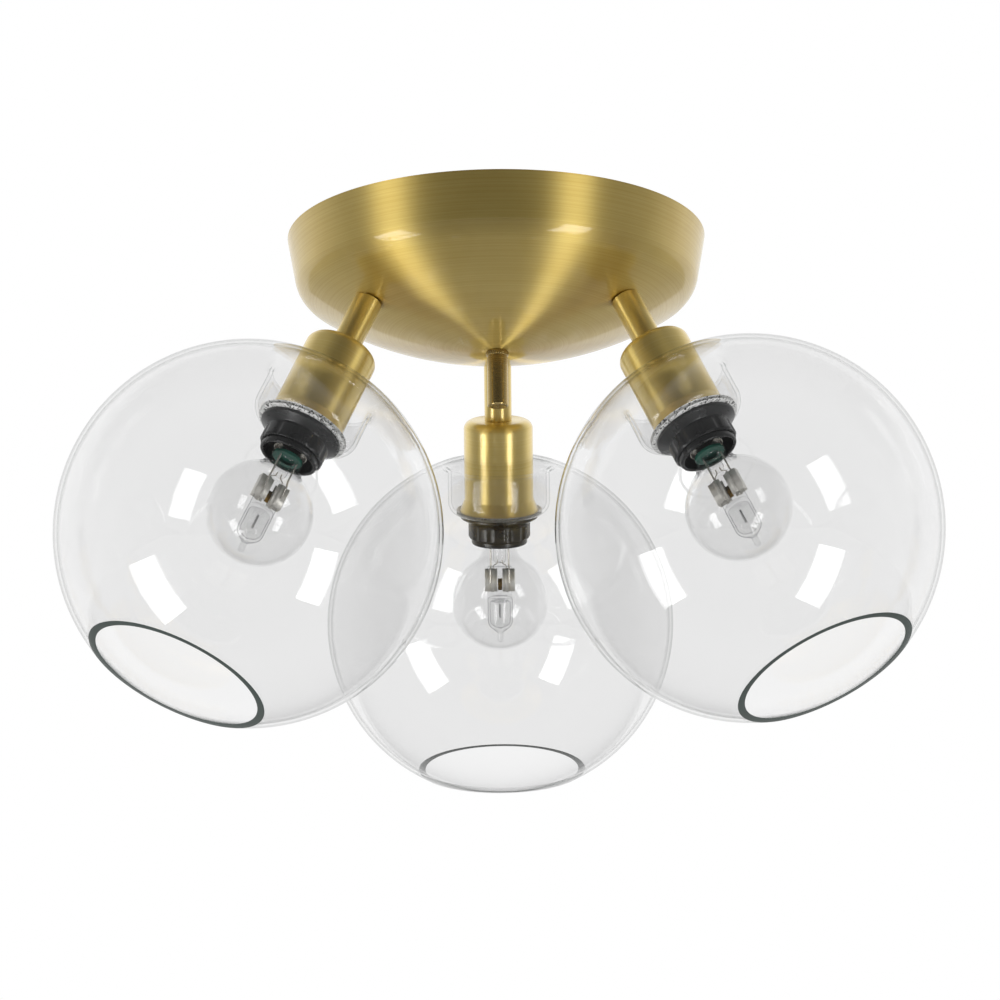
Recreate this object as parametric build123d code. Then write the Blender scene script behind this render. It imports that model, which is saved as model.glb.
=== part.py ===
"""Semi flush ceiling light: a spun brass bowl with three tilted lamps, each a clear glass globe on a brass cup.

Millimetres, +Z up. The origin is the middle of the ceiling face, so everything hangs below z = 0.

A lamp is drawn hanging straight down the -Z axis. A "station" is the distance down that axis from the point
where the axis meets the ceiling plane. hang() then tilts the finished piece outwards and swings it round
to its own side of the bowl. A turned outline is a list of (radius, station) corners.
"""

import os
from math import asin, atan2, cos, pi, radians, sin, sqrt, tan

from build123d import *

# ---------------------------------------------------------------- bowl and ceiling bracket
canopy_radius = 100.0  # at the rim, against the ceiling
canopy_depth = 55.2  # rim to the lowest point of the dome
canopy_dome_radius = 170.6  # of the shallow bottom
canopy_bend_radius = 14.5  # between the side wall and the bottom
canopy_taper = 10.4  # degrees, how much the side wall leans inwards
canopy_wall = 1.0

bracket_length = 124.0
bracket_width = 24.0
bracket_thickness = 2.0
slot_spacing = 96.0  # between the two ceiling screws
slot_length = 14.0
slot_width = 4.8
cable_hole_radius = 5.0
cable_hole_offset = 33.0

stud_radius = 3.0
stud_reach = 13.0  # how far the stud passes the bowl, inside the thumb nut
stud_clearance = 0.05  # all round, in the thumb nut
nut_radius = 5.0
nut_length = 27.4
nut_collar_radius = 5.4
nut_collar_height = 2.5
nut_end_rounding = 0.6
nut_blind_depth = 1.0  # of its thread past the end of the stud
nut_grip_grooves = 24
nut_groove_depth = 0.35
nut_groove_width = 0.5
nut_groove_lean = 45.0  # degrees from upright

rest_gap = 0.05  # left between pieces that rest against each other

# ---------------------------------------------------------------- where the lamps hang
lamp_azimuths = {"1": 210.0, "2": 330.0, "3": 90.0}  # degrees: front left, front right, back
lamp_tilt = 27.0  # degrees from straight down
lamp_offset = 48.6  # from the bowl's axis to the lamp's axis, in the ceiling plane

# ---------------------------------------------------------------- brass stem, cup and threaded tube
stem_radius = 6.8
stem_length = 28.0
stem_bore_clearance = 0.2  # round the threaded tube

nipple_radius = 5.0  # M10 x 1 tube
nipple_bore = 4.0
nipple_entry = 7.0  # length inside the lampholder
nipple_hole_clearance = 0.1
lock_nut_flats = 14.0
lock_nut_height = 3.0
lock_washer_radius = 8.5
lock_washer_height = 0.8
nipple_stand_out = 1.5  # above the lock nut

cup_radius = 17.3
cup_length = 46.5
cup_wall = 1.0
cup_shoulder = 4.5
cup_lip_radius = 19.6
cup_lip_height = 6.5  # over which the cup flares out to its lip
cup_flare_rounding = 3.0

# ---------------------------------------------------------------- black lampholder with its two contacts
holder_radius = 14.0
holder_wall = 1.8
holder_cap_height = 9.5
holder_boss_radius = 8.5
holder_length = 62.3  # under the cup's top plate
holder_mouth_depth = 8.0
holder_floor_thickness = 4.0
holder_cap_rounding = 2.0
holder_edge_rounding = 0.8
lead_hole_clearance = 0.4

socket_wall = 0.35
socket_length = 19.0
socket_clearance = 0.02  # between the screw shell and the holder

contact_radius = 2.2
contact_flange_radius = 3.6
contact_flange_height = 0.8
contact_nose = 2.1
contact_tail = 5.0
contact_clearance = 0.05  # round the pin, in the holder's floor
contact_rounding = 0.6

# ---------------------------------------------------------------- glass globe and shade ring
globe_radius = 87.5
globe_wall = 1.6
globe_mouth_height = 76.5  # from the globe's centre down to the ground rim
well_radius = 24.0  # of the sleeve of glass that turns back in around the cup
well_mouth_radius = 4.6  # rounding where the globe turns into that sleeve
well_foot_radius = 5.0  # rounding where the sleeve turns in to its flange
globe_hang = 58.6  # from the top of that flange down to the globe's centre
globe_hole_clearance = 0.6

ring_flange_radius = 19.4
ring_flange_height = 1.5
ring_band_radius = 15.0
ring_band_height = 8.0
ring_cone_height = 2.6
ring_bore_clearance = 0.08
ring_edge_rounding = 0.4
ring_cone_rounding = 1.0
ring_grips = 11
ring_grip_width = 5.4
ring_grip_height = 0.5
ring_grip_inset = 0.6  # from the ends of the band
ring_grip_rounding = 0.3

# ---------------------------------------------------------------- halogen bulb
bulb_radius = 24.2
bulb_length = 79.5
bulb_glass = 0.8
bulb_neck_curve = 14.0
bulb_neck_overlap = 2.0  # of the glass inside the cap
bulb_turns = {"1": 0.0, "2": 0.0, "3": 90.0}  # how far round each bulb stopped when it was screwed in
flare_drop = 2.6  # of the glass mount's flare below the cap's rim
flare_height = 1.4
mount_radius = 3.2
mount_length = 9.0  # below its flare
mount_rounding = 1.5

cap_thread_radius = 6.9
cap_thread_clearance = 0.1  # round the cap's thread, in the screw shell
cap_thread_depth = 0.5
cap_thread_pitch = 2.82
cap_thread_turns = 5
cap_thread_shape = (0.25, 0.45, 0.70, 0.90)  # where a turn starts, tops, leaves the top and ends, in pitches
cap_thread_rounding = 0.3
cap_wall = 0.4
cap_run_out = 0.6  # from the last thread to the flare of the skirt
cap_skirt_radius = 8.2
cap_skirt_height = 4.5
cap_skirt_rounding = 0.8
tip_radius = 2.4
tip_height = 1.0
tip_rounding = 0.5
tip_insulator_height = 2.2
tip_insulator_inset = 0.2  # from the outside of the cap
tip_insulator_margin = 0.8  # round the solder tip

capsule_radius = 6.3
capsule_wall = 1.0
capsule_length = 14.3  # of its round body
capsule_top = 53.0  # from the cap's tip down to the start of the round body
capsule_rim = 1.6  # rounding of the body's upper end
capsule_shoulder = 4.5  # rounding of its lower end
capsule_cone = 4.2  # from the body down to the sealed tip
capsule_tip_radius = 1.4
capsule_tip_length = 4.8
capsule_tip_rounding = 0.9
pinch_width = 12.4
pinch_thickness = 3.2
pinch_height = 16.0
pinch_root = 1.0  # how far the pinch runs into the round body
pinch_rounding = 1.0

clip_width = 15.0
clip_height = 11.0
clip_thickness = 0.4
clip_drop = 3.5  # between the clip and the round body
support_wire_radius = 0.45
support_wire_spacing = 9.0

filament_radius = 0.6
filament_length = 7.0
filament_leg_radius = 0.2
filament_leg_root = 0.2  # how far the leg runs into the coil

# ---------------------------------------------------------------- wiring inside the bowl
lead_radius = 1.1
lead_spacing = 2.4  # between the two leads of a lamp, inside its threaded tube
lead_turn_station = 14.0  # where the leads leave the line of the stem
lead_holder_depth = 1.5  # below the end of the threaded tube
lead_arc_share = 0.45  # of the shorter run beside a turn
lead_layer_gap = 0.05  # between two leads in one hole, from the middle
lead_block_depth = 2.0  # from the face of the block to the end of a lead

block_pole_pitch = 8.0
block_poles = 3
block_start = 8.0  # from the bowl's axis
block_width = 17.0
block_height = 13.0
block_hole_radius = 2.9
block_screw_radius = 1.5
block_screw_head = 2.2
block_screw_spacing = 9.0
block_screw_head_height = 1.4
block_screw_sink = 0.2  # of the head below the face of the block
block_slot_width = 0.6
block_slot_depth = 0.5
block_rounding = 1.0

earth_place = 20.0  # from the bowl's axis, on the side away from the block
earth_screw_radius = 2.0
earth_head_radius = 3.8
earth_head_height = 2.4
earth_lug_radius = 4.6
earth_lug_thickness = 0.8
earth_screw_stop = 0.4  # of the screw's end below the ceiling
earth_head_rounding = 0.8
earth_hole_clearance = 0.1
earth_lead_reach = 14.0  # how far the earth lead runs straight out before it turns to the block
earth_lead_bow = 18.0  # how far out it passes the block's corner

# ---------------------------------------------------------------- stations that follow from the sizes above
tilt = radians(lamp_tilt)
dome_centre_z = canopy_dome_radius - canopy_depth
# Seen from the dome's centre: how far along the lamp's axis station 0 lies, and how far the axis passes it by.
axis_start = lamp_offset * sin(tilt) + dome_centre_z * cos(tilt)
axis_miss = abs(lamp_offset * cos(tilt) - dome_centre_z * sin(tilt))


def dome_station(shell_radius: float, miss: float) -> float:
    """Return the station where a line beside the lamp's axis meets a sphere round the dome's centre.

    Args:
        shell_radius: radius of the sphere.
        miss: distance of the line from the dome's centre.
    """
    return sqrt(shell_radius**2 - miss**2) - axis_start


stem_top = dome_station(canopy_dome_radius, max(axis_miss - stem_radius, 0.0)) + rest_gap
stem_bottom = stem_top + stem_length
stem_bore = nipple_radius + stem_bore_clearance
washer_bottom = dome_station(canopy_dome_radius - canopy_wall, axis_miss + lock_washer_radius) - rest_gap
washer_top = washer_bottom - lock_washer_height
lock_nut_top = washer_top - lock_nut_height
nipple_top = lock_nut_top - nipple_stand_out

cup_top = stem_bottom
cup_bottom = cup_top + cup_length
holder_top = cup_top + cup_wall
nipple_bottom = holder_top + nipple_entry
skirt_top = holder_top + holder_cap_height
holder_bottom = holder_top + holder_length
mouth_top = holder_bottom - holder_mouth_depth
socket_top = mouth_top - socket_length
floor_top = socket_top - holder_floor_thickness
socket_bore = cap_thread_radius + cap_thread_clearance
contact_bottom = socket_top + contact_nose
bulb_tip = contact_bottom + rest_gap

flange_top = cup_bottom + rest_gap
flange_bottom = flange_top + globe_wall
globe_centre = flange_top + globe_hang
globe_hole = holder_radius + globe_hole_clearance

ring_top = flange_bottom + rest_gap
ring_bore = holder_radius + ring_bore_clearance

bulb_bottom = bulb_tip + bulb_length
bulb_centre = bulb_bottom - bulb_radius
thread_top = bulb_tip + tip_height + tip_insulator_height
thread_bottom = thread_top + cap_thread_pitch * cap_thread_turns
cap_rim = thread_bottom + cap_skirt_height
cap_skirt_bore = cap_skirt_radius - cap_wall
bulb_neck_radius = cap_skirt_bore - rest_gap
flare_top = cap_rim + flare_drop
flare_bottom = flare_top + flare_height
capsule_start = bulb_tip + capsule_top
clip_face = pinch_thickness / 2 + clip_thickness
support_wire_side = clip_face + support_wire_radius - clip_thickness / 2


# ---------------------------------------------------------------- helpers
def turned(*corners: tuple[float, ...]) -> Part:
    """Return the solid that a closed outline sweeps about the lamp's axis.

    Args:
        corners: (radius, station) of each corner, with its rounding as a third value where it has one.
    """
    points = [(corner[0], -corner[1]) for corner in corners]
    rounding = [corner[2] if len(corner) > 2 else 0.0 for corner in corners]
    outline = FilletPolyline(*points, radius=rounding, close=True)
    return revolve(make_face(Plane.XZ * outline), Axis.Z)


def turned_edges(*edges: Edge) -> Part:
    """Return the solid that edges drawn in radius and minus station sweep about the lamp's axis."""
    return revolve(make_face(Plane.XZ * Curve(edges)), Axis.Z)


def arc_from(centre: tuple[float, float], radius: float, start: float, end: float) -> Edge:
    """Return a circular arc in the drawing plane.

    Args:
        centre: radius and minus station of its centre.
        radius: radius of the arc.
        start: angle of its first end in radians.
        end: angle of its last end in radians.
    """
    ends = [
        (centre[0] + radius * cos(angle), centre[1] + radius * sin(angle))
        for angle in (start, (start + end) / 2, end)
    ]
    return ThreePointArc(*ends)


def disc(radius: float, top: float, bottom: float) -> Part:
    """Return a round bar on the lamp's axis between two stations."""
    return turned((0, top), (radius, top), (radius, bottom), (0, bottom))


def tube(outer: float, inner: float, top: float, bottom: float) -> Part:
    """Return a plain tube on the lamp's axis between two stations."""
    return turned((inner, top), (outer, top), (outer, bottom), (inner, bottom))


def hang(piece: Part, lamp: str) -> Part:
    """Return a lamp's piece tilted outwards and swung round to the lamp's own side of the bowl."""
    place = Rot(0, 0, lamp_azimuths[lamp]) * Pos(lamp_offset, 0, 0) * Rot(0, -lamp_tilt, 0)
    return place * piece


def lamp_point(lamp: str, side: float, station: float) -> Vector:
    """Return the place of a point beside a lamp's axis.

    Args:
        lamp: the lamp's number.
        side: distance to the side of the axis.
        station: distance down the axis.
    """
    place = Rot(0, 0, lamp_azimuths[lamp]) * Pos(lamp_offset, 0, 0) * Rot(0, -lamp_tilt, 0)
    return (place * Pos(0, side, -station)).position


def soft_tube(radius: float, *points: Vector) -> Part:
    """Return a lead along straight runs joined by arcs as large as the runs allow."""
    runs = [(end - start).length for start, end in zip(points, points[1:])]
    radii = []
    for before, after, first, middle, last in zip(runs, runs[1:], points, points[1:], points[2:]):
        turn = radians((middle - first).get_angle(last - middle))
        radii.append(lead_arc_share * min(before, after) / tan(turn / 2))
    path = FilletPolyline(*points, radius=radii)
    section = Plane(origin=path @ 0, z_dir=path % 0) * Circle(radius)
    return sweep(section, path=path)


# ---------------------------------------------------------------- bowl, bracket and thumb nut
def canopy_body(inset: float) -> Part:
    """Return the bowl as a solid block, with every face moved inwards by an inset."""
    lean = radians(canopy_taper)
    rim = canopy_radius - inset / cos(lean)
    dome = canopy_dome_radius - inset
    # Where the side wall r = rim + z tan(lean) meets the dome's sphere, with z negative below the ceiling.
    slope = tan(lean)
    a = 1 + slope**2
    b = 2 * (rim * slope - dome_centre_z)
    c = rim**2 + dome_centre_z**2 - dome**2
    corner_z = (-b - sqrt(b**2 - 4 * a * c)) / (2 * a)
    corner = (rim + corner_z * slope, corner_z)
    bottom = (0, dome_centre_z - dome)
    outline = [
        Line((0, 0), (rim, 0)),
        Line((rim, 0), corner),
        RadiusArc(corner, bottom, dome),
        Line(bottom, (0, 0)),
    ]
    face = make_face(Plane.XZ * Curve(outline))
    bend = face.vertices().sort_by_distance((corner[0], 0, corner[1]))[0]
    return revolve(fillet(bend, canopy_bend_radius - inset), Axis.Z)


def make_canopy() -> Part:
    """Return the spun bowl with its centre hole and the three holes for the threaded tubes."""
    bowl = canopy_body(0) - canopy_body(canopy_wall)
    bowl -= Cylinder(stud_radius + nipple_hole_clearance, 4 * canopy_depth)
    for lamp in lamp_azimuths:
        bowl -= hang(disc(nipple_radius + nipple_hole_clearance, nipple_top, stem_bottom), lamp)
    return bowl


def make_bracket() -> Part:
    """Return the ceiling strap with its two slots and a hole for the supply cable."""
    strap = Pos(0, 0, -bracket_thickness / 2) * Box(bracket_length, bracket_width, bracket_thickness)
    strap = fillet(strap.edges().filter_by(Axis.Z), bracket_width / 4)
    slot = extrude(SlotOverall(slot_length, slot_width), 2 * bracket_thickness, both=True)
    for side in (-1, 1):
        strap -= Pos(side * slot_spacing / 2, 0, 0) * slot
    strap -= Pos(-cable_hole_offset, 0, 0) * Cylinder(cable_hole_radius, 4 * bracket_thickness)
    earth_hole = Cylinder(earth_screw_radius, 4 * bracket_thickness)
    return strap - Pos(-earth_place, 0, 0) * earth_hole


def make_stud() -> Part:
    """Return the threaded stud that is welded under the strap and carries the bowl."""
    return disc(stud_radius, bracket_thickness, canopy_depth + stud_reach)


def make_thumb_nut() -> Part:
    """Return the long brass thumb nut under the bowl, with its knurled collar."""
    top = canopy_depth + rest_gap
    bottom = top + nut_length
    thread_end = canopy_depth + stud_reach + nut_blind_depth
    bore = stud_radius + stud_clearance
    nut = turned(
        (bore, top),
        (nut_collar_radius, top),
        (nut_collar_radius, top + nut_collar_height),
        (nut_radius, top + nut_collar_height),
        (nut_radius, bottom, nut_end_rounding),
        (0, bottom),
        (0, thread_end),
        (bore, thread_end),
    )
    groove = Rot(nut_groove_lean, 0, 0) * Box(2 * nut_groove_depth, nut_groove_width, 3 * nut_collar_height)
    ring = PolarLocations(nut_collar_radius, nut_grip_grooves)
    return nut - Pos(0, 0, -top - nut_collar_height / 2) * ring * groove


# ---------------------------------------------------------------- stem, cup and lampholder
def make_stem() -> Part:
    """Return the brass spacer tube between the bowl and the cup."""
    return tube(stem_radius, stem_bore, stem_top, stem_bottom)


def make_nipple() -> Part:
    """Return the threaded tube that clamps the stem and cup to the bowl."""
    return tube(nipple_radius, nipple_bore, nipple_top, nipple_bottom)


def make_lock_nut() -> Part:
    """Return the thin hexagon nut inside the bowl."""
    hexagon = RegularPolygon(lock_nut_flats / 2, 6, major_radius=False)
    plate = Pos(0, 0, -washer_top) * extrude(hexagon, lock_nut_height)
    return plate - disc(nipple_radius, lock_nut_top, washer_top)


def make_lock_washer() -> Part:
    """Return the washer between the lock nut and the bowl."""
    return tube(lock_washer_radius, nipple_radius + nipple_hole_clearance, washer_top, washer_bottom)


def make_cup() -> Part:
    """Return the brass cup, with its rounded shoulder and flared lip."""
    lip_start = cup_bottom - cup_lip_height
    inner = cup_radius - cup_wall
    return turned(
        (nipple_radius + nipple_hole_clearance, cup_top),
        (cup_radius, cup_top, cup_shoulder),
        (cup_radius, lip_start, cup_flare_rounding),
        (cup_lip_radius, cup_bottom - cup_wall / 2),
        (cup_lip_radius, cup_bottom),
        (cup_lip_radius - cup_wall, cup_bottom),
        (inner, lip_start, cup_flare_rounding),
        (inner, cup_top + cup_wall, cup_shoulder - cup_wall),
        (nipple_radius + nipple_hole_clearance, cup_top + cup_wall),
    )


def make_holder_cap() -> Part:
    """Return the top of the lampholder, which screws onto the threaded tube."""
    inner = holder_radius - holder_wall
    return turned(
        (nipple_radius, holder_top),
        (holder_boss_radius, holder_top, holder_edge_rounding),
        (holder_radius, holder_top + holder_cap_height / 2, holder_cap_rounding),
        (holder_radius, skirt_top),
        (inner, skirt_top),
        (inner, nipple_bottom, holder_edge_rounding),
        (nipple_radius, nipple_bottom),
    )


def make_holder_skirt() -> Part:
    """Return the threaded skirt of the lampholder, with its contact floor and open mouth."""
    inner = holder_radius - holder_wall
    sleeve = socket_bore + socket_wall
    pin_bore = contact_radius + contact_clearance
    lead_hole = Cylinder(lead_radius + lead_hole_clearance, 3 * holder_floor_thickness)
    skirt = turned(
        (holder_radius, skirt_top),
        (holder_radius, holder_bottom, holder_edge_rounding),
        (inner, holder_bottom, holder_edge_rounding),
        (inner, mouth_top),
        (sleeve, mouth_top),
        (sleeve, socket_top),
        (pin_bore, socket_top),
        (pin_bore, floor_top),
        (inner, floor_top),
        (inner, skirt_top),
    )
    return skirt - Pos(0, sleeve - lead_radius, -floor_top) * lead_hole


def make_socket_shell() -> Part:
    """Return the brass screw shell of the lampholder."""
    return tube(socket_bore + socket_wall - socket_clearance, socket_bore, socket_top, mouth_top)


def make_centre_contact() -> Part:
    """Return the brass pin that meets the tip of the bulb."""
    return turned(
        (0, floor_top - contact_tail),
        (contact_radius, floor_top - contact_tail),
        (contact_radius, socket_top),
        (contact_flange_radius, socket_top),
        (contact_flange_radius, socket_top + contact_flange_height),
        (contact_radius, socket_top + contact_flange_height),
        (contact_radius, contact_bottom, contact_rounding),
        (0, contact_bottom),
    )


# ---------------------------------------------------------------- globe and shade ring
def globe_profile(thickness: float) -> list[Edge]:
    """Return one face of the globe's glass, from its mouth over the top and down into the sleeve.

    Args:
        thickness: depth below the outer face, which is 0 for that face and globe_wall for the inner one.
    """
    radius = globe_radius - thickness
    lip = well_mouth_radius - thickness
    wall = well_radius + thickness
    foot = well_foot_radius + thickness
    lip_r = well_radius + well_mouth_radius
    lip_drop = sqrt((globe_radius - well_mouth_radius) ** 2 - lip_r**2)
    lip_z = lip_drop - globe_centre
    foot_r = well_radius - well_foot_radius
    foot_z = well_foot_radius - flange_top
    lean = atan2(lip_drop, lip_r)
    mouth_lean = -asin(globe_mouth_height / radius)
    return [
        arc_from((0, -globe_centre), radius, mouth_lean, lean),
        arc_from((lip_r, lip_z), lip, lean, pi),
        Line((wall, lip_z), (wall, foot_z)),
        arc_from((foot_r, foot_z), foot, 0, -pi / 2),
        Line((foot_r, foot_z - foot), (globe_hole, foot_z - foot)),
    ]


def make_globe() -> Part:
    """Return the blown glass globe, open at the bottom, with a sleeve turned in around the cup."""
    outer = globe_profile(0)
    inner = globe_profile(globe_wall)
    rim = Line(outer[0] @ 0, inner[0] @ 0)
    hole = Line(outer[-1] @ 1, inner[-1] @ 1)
    return turned_edges(*outer, *inner, rim, hole)


def make_shade_ring() -> Part:
    """Return the black screw ring that clamps the globe, with grips round its band."""
    band_top = ring_top + ring_flange_height + ring_cone_height
    band_bottom = band_top + ring_band_height
    ring = turned(
        (ring_bore, ring_top),
        (ring_flange_radius, ring_top, ring_edge_rounding),
        (ring_flange_radius, ring_top + ring_flange_height, ring_edge_rounding),
        (ring_band_radius, band_top, ring_cone_rounding),
        (ring_band_radius, band_bottom, ring_edge_rounding),
        (ring_bore, band_bottom),
    )
    grip = Box(2 * ring_grip_height, ring_grip_width, ring_band_height - 2 * ring_grip_inset)
    grip = fillet(grip.edges(), ring_grip_rounding)
    grip = Pos(ring_band_radius, 0, -(band_top + band_bottom) / 2) * grip
    for turn in range(ring_grips):
        ring += Rot(0, 0, 360 / ring_grips * turn) * grip
    return ring


# ---------------------------------------------------------------- bulb
def bulb_profile(thickness: float) -> list[Edge]:
    """Return one face of the bulb's glass, from its neck round to the lowest point."""
    radius = bulb_radius - thickness
    neck = bulb_neck_radius - thickness
    curve = bulb_neck_curve + thickness
    curve_r = bulb_neck_radius + bulb_neck_curve
    curve_rise = sqrt((bulb_radius + bulb_neck_curve) ** 2 - curve_r**2)
    curve_z = curve_rise - bulb_centre
    lean = atan2(curve_rise, curve_r)
    return [
        Line((neck, bulb_neck_overlap - cap_rim), (neck, curve_z)),
        arc_from((curve_r, curve_z), curve, pi, pi + lean),
        arc_from((0, -bulb_centre), radius, lean, -pi / 2),
    ]


def make_bulb_glass() -> Part:
    """Return the bulb's clear outer glass, with the glass mount fused across its neck to hold the two wires."""
    outer = bulb_profile(0)
    inner = bulb_profile(bulb_glass)
    neck = Line(outer[0] @ 0, inner[0] @ 0)
    bottom = Line(outer[-1] @ 1, inner[-1] @ 1)
    rim = bulb_neck_radius - bulb_glass / 2
    mount = turned(
        (0, flare_top),
        (rim, flare_top),
        (rim, flare_bottom),
        (mount_radius, flare_bottom, mount_rounding),
        (mount_radius, flare_bottom + mount_length, mount_rounding),
        (0, flare_bottom + mount_length),
    )
    hole = disc(support_wire_radius + rest_gap, flare_top, flare_bottom + mount_rounding)
    for side in (-1, 1):
        mount -= Pos(side * support_wire_spacing / 2, support_wire_side, 0) * hole
    return turned_edges(*outer, *inner, neck, bottom) + mount


def make_bulb_cap() -> Part:
    """Return the E14 screw cap as a thin shell with rounded thread crests."""
    root = cap_thread_radius - cap_thread_depth
    inner = root - cap_wall
    crests = (root, cap_thread_radius, cap_thread_radius, root)
    corners = [(inner, thread_top), (root, thread_top)]
    for turn in range(cap_thread_turns):
        for share, crest in zip(cap_thread_shape, crests):
            station = thread_top + (turn + share) * cap_thread_pitch
            corners.append((crest, station, cap_thread_rounding))
    skirt_flare = thread_bottom + cap_skirt_height / 2
    corners += [
        (root, thread_bottom + cap_run_out, cap_thread_rounding),
        (cap_skirt_radius, skirt_flare, cap_skirt_rounding),
        (cap_skirt_radius, cap_rim),
        (cap_skirt_bore, cap_rim),
        (cap_skirt_bore, skirt_flare, cap_skirt_rounding - cap_wall),
        (inner, thread_bottom + cap_run_out),
    ]
    return turned(*corners)


def make_bulb_base() -> Part:
    """Return the insulator at the end of the cap, with the solder tip in its middle."""
    edge = cap_thread_radius - cap_thread_depth - tip_insulator_inset
    solder_end = bulb_tip + tip_height
    return turned(
        (0, bulb_tip),
        (tip_radius, bulb_tip, tip_rounding),
        (tip_radius, solder_end),
        (tip_radius + tip_insulator_margin, solder_end),
        (edge, thread_top - tip_insulator_inset),
        (edge, thread_top),
        (0, thread_top),
    )


def make_capsule() -> Part:
    """Return the quartz capsule inside the bulb, pinched flat at the top and sealed to a tip below."""
    end = capsule_start + capsule_length
    tip_start = end + capsule_cone
    tip_end = tip_start + capsule_tip_length
    body = turned(
        (0, capsule_start),
        (capsule_radius, capsule_start, capsule_rim),
        (capsule_radius, end, capsule_shoulder),
        (capsule_tip_radius, tip_start, capsule_tip_rounding),
        (capsule_tip_radius, tip_end, capsule_tip_rounding),
        (0, tip_end),
    )
    inner = capsule_radius - capsule_wall
    body -= turned(
        (0, capsule_start + 2 * capsule_wall),
        (inner, capsule_start + 2 * capsule_wall, capsule_rim - capsule_wall / 2),
        (inner, end - capsule_wall / 2, capsule_shoulder - capsule_wall),
        (0, tip_start - 2 * capsule_wall),
    )
    length = pinch_height + pinch_root
    pinch = Box(pinch_width, pinch_thickness, length)
    pinch = fillet(pinch.edges().filter_by(Axis.Z), pinch_rounding)
    return body + Pos(0, 0, length / 2 - pinch_root - capsule_start) * pinch


def make_frame() -> Part:
    """Return the nickel clip that holds the capsule by its pinch, on two wires from the cap."""
    clip_middle = capsule_start - clip_drop - clip_height / 2
    plate = Box(clip_width, clip_thickness, clip_height)
    web = Box(clip_thickness, 2 * clip_face, clip_height)
    wire = disc(support_wire_radius, thread_top, clip_middle)
    frame = Part()
    for side in (-1, 1):
        frame += Pos(0, side * (clip_face - clip_thickness / 2), -clip_middle) * plate
        frame += Pos(side * (pinch_width / 2 + clip_thickness), 0, -clip_middle) * web
        frame += Pos(side * support_wire_spacing / 2, support_wire_side, 0) * wire
    return frame


def make_filament() -> Part:
    """Return the filament inside the capsule, with its two legs."""
    top = capsule_start + 2 * capsule_wall
    middle = capsule_start + capsule_length / 2
    coil = Pos(0, 0, -middle) * Cylinder(filament_radius, filament_length)
    leg = disc(filament_leg_radius, top, middle - filament_length / 2 + filament_leg_root)
    return coil + leg


# ---------------------------------------------------------------- wiring
block_hole_z = -bracket_thickness - block_height / 2
pole_places = [block_start + block_pole_pitch * (pole + 0.5) for pole in range(block_poles)]
earth_pole, neutral_pole, live_pole = pole_places
stack = lead_radius + lead_layer_gap  # half the step between two leads in one hole


def make_terminal_block() -> Part:
    """Return the terminal block under the strap."""
    length = block_poles * block_pole_pitch
    body = Box(length, block_width, block_height)
    body = fillet(body.edges().filter_by(Axis.Z), block_rounding)
    block = Pos(block_start + length / 2, 0, block_hole_z) * body
    for place in pole_places:
        block -= Pos(place, 0, block_hole_z) * Rot(90, 0, 0) * Cylinder(block_hole_radius, 2 * block_width)
        for side in (-1, 1):
            low = Pos(place, side * block_screw_spacing / 2, block_hole_z - block_height / 2)
            block -= low * Cylinder(block_screw_head, 2 * (block_screw_head_height + block_screw_sink))
            block -= low * Cylinder(block_screw_radius, block_height)
    return block


def make_terminal_screws() -> list[Part]:
    """Return the six screws of the terminal block, whose ends stop short of the leads."""
    screws = []
    bottom = block_hole_z - block_height / 2 + block_screw_sink
    shank = block_height / 2 - block_hole_radius - block_screw_head_height
    head = Pos(0, 0, block_screw_head_height / 2) * Cylinder(block_screw_head, block_screw_head_height)
    head -= Box(2 * block_screw_head, block_slot_width, 2 * block_slot_depth)
    pin_middle = block_screw_head_height + shank / 2
    screw = head + Pos(0, 0, pin_middle) * Cylinder(block_screw_radius, shank)
    for place in pole_places:
        for side in (-1, 1):
            screws.append(Pos(place, side * block_screw_spacing / 2, bottom) * screw)
    return screws


def make_leads(lamp: str) -> list[Part]:
    """Return the two insulated leads of one lamp, from its holder to the terminal block."""
    # Per lamp: the side of the block that its leads enter, how far above the middle of the hole they end,
    # how far out each turns towards the block, and how much lower it turns than it ends.
    alone = block_hole_radius - lead_radius - rest_gap
    entry = {
        "1": (-1, stack, (25.0, 29.5), 0.0),
        "2": (-1, -stack, (22.5, 18.5), 2.4),
        "3": (1, alone, (26.0, 30.5), 0.0),
    }
    side, rise, turns, drop = entry[lamp]
    leads = []
    for lead, (pole, turn) in enumerate(zip((neutral_pole, live_pole), turns)):
        offset = (lead - 0.5) * lead_spacing * (-1 if lamp == "3" else 1)
        height = block_hole_z + rise
        points = [
            lamp_point(lamp, offset, nipple_bottom + lead_holder_depth),
            lamp_point(lamp, offset, lead_turn_station),
            Vector(pole, side * turn, height - drop),
            Vector(pole, side * (block_width / 2 - lead_block_depth), height),
        ]
        leads.append(soft_tube(lead_radius, *points))
    return leads


def make_earth_terminal() -> list[Part]:
    """Return the earth screw and the ring lug that it clamps under the strap."""
    under = bracket_thickness
    lug = tube(earth_lug_radius, earth_screw_radius + earth_hole_clearance, under, under + earth_lug_thickness)
    low = under + earth_lug_thickness
    screw = turned(
        (0, earth_screw_stop),
        (earth_screw_radius, earth_screw_stop),
        (earth_screw_radius, low),
        (earth_head_radius, low),
        (earth_head_radius, low + earth_head_height, earth_head_rounding),
        (0, low + earth_head_height),
    )
    return [Pos(-earth_place, 0, 0) * lug, Pos(-earth_place, 0, 0) * screw]


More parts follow.
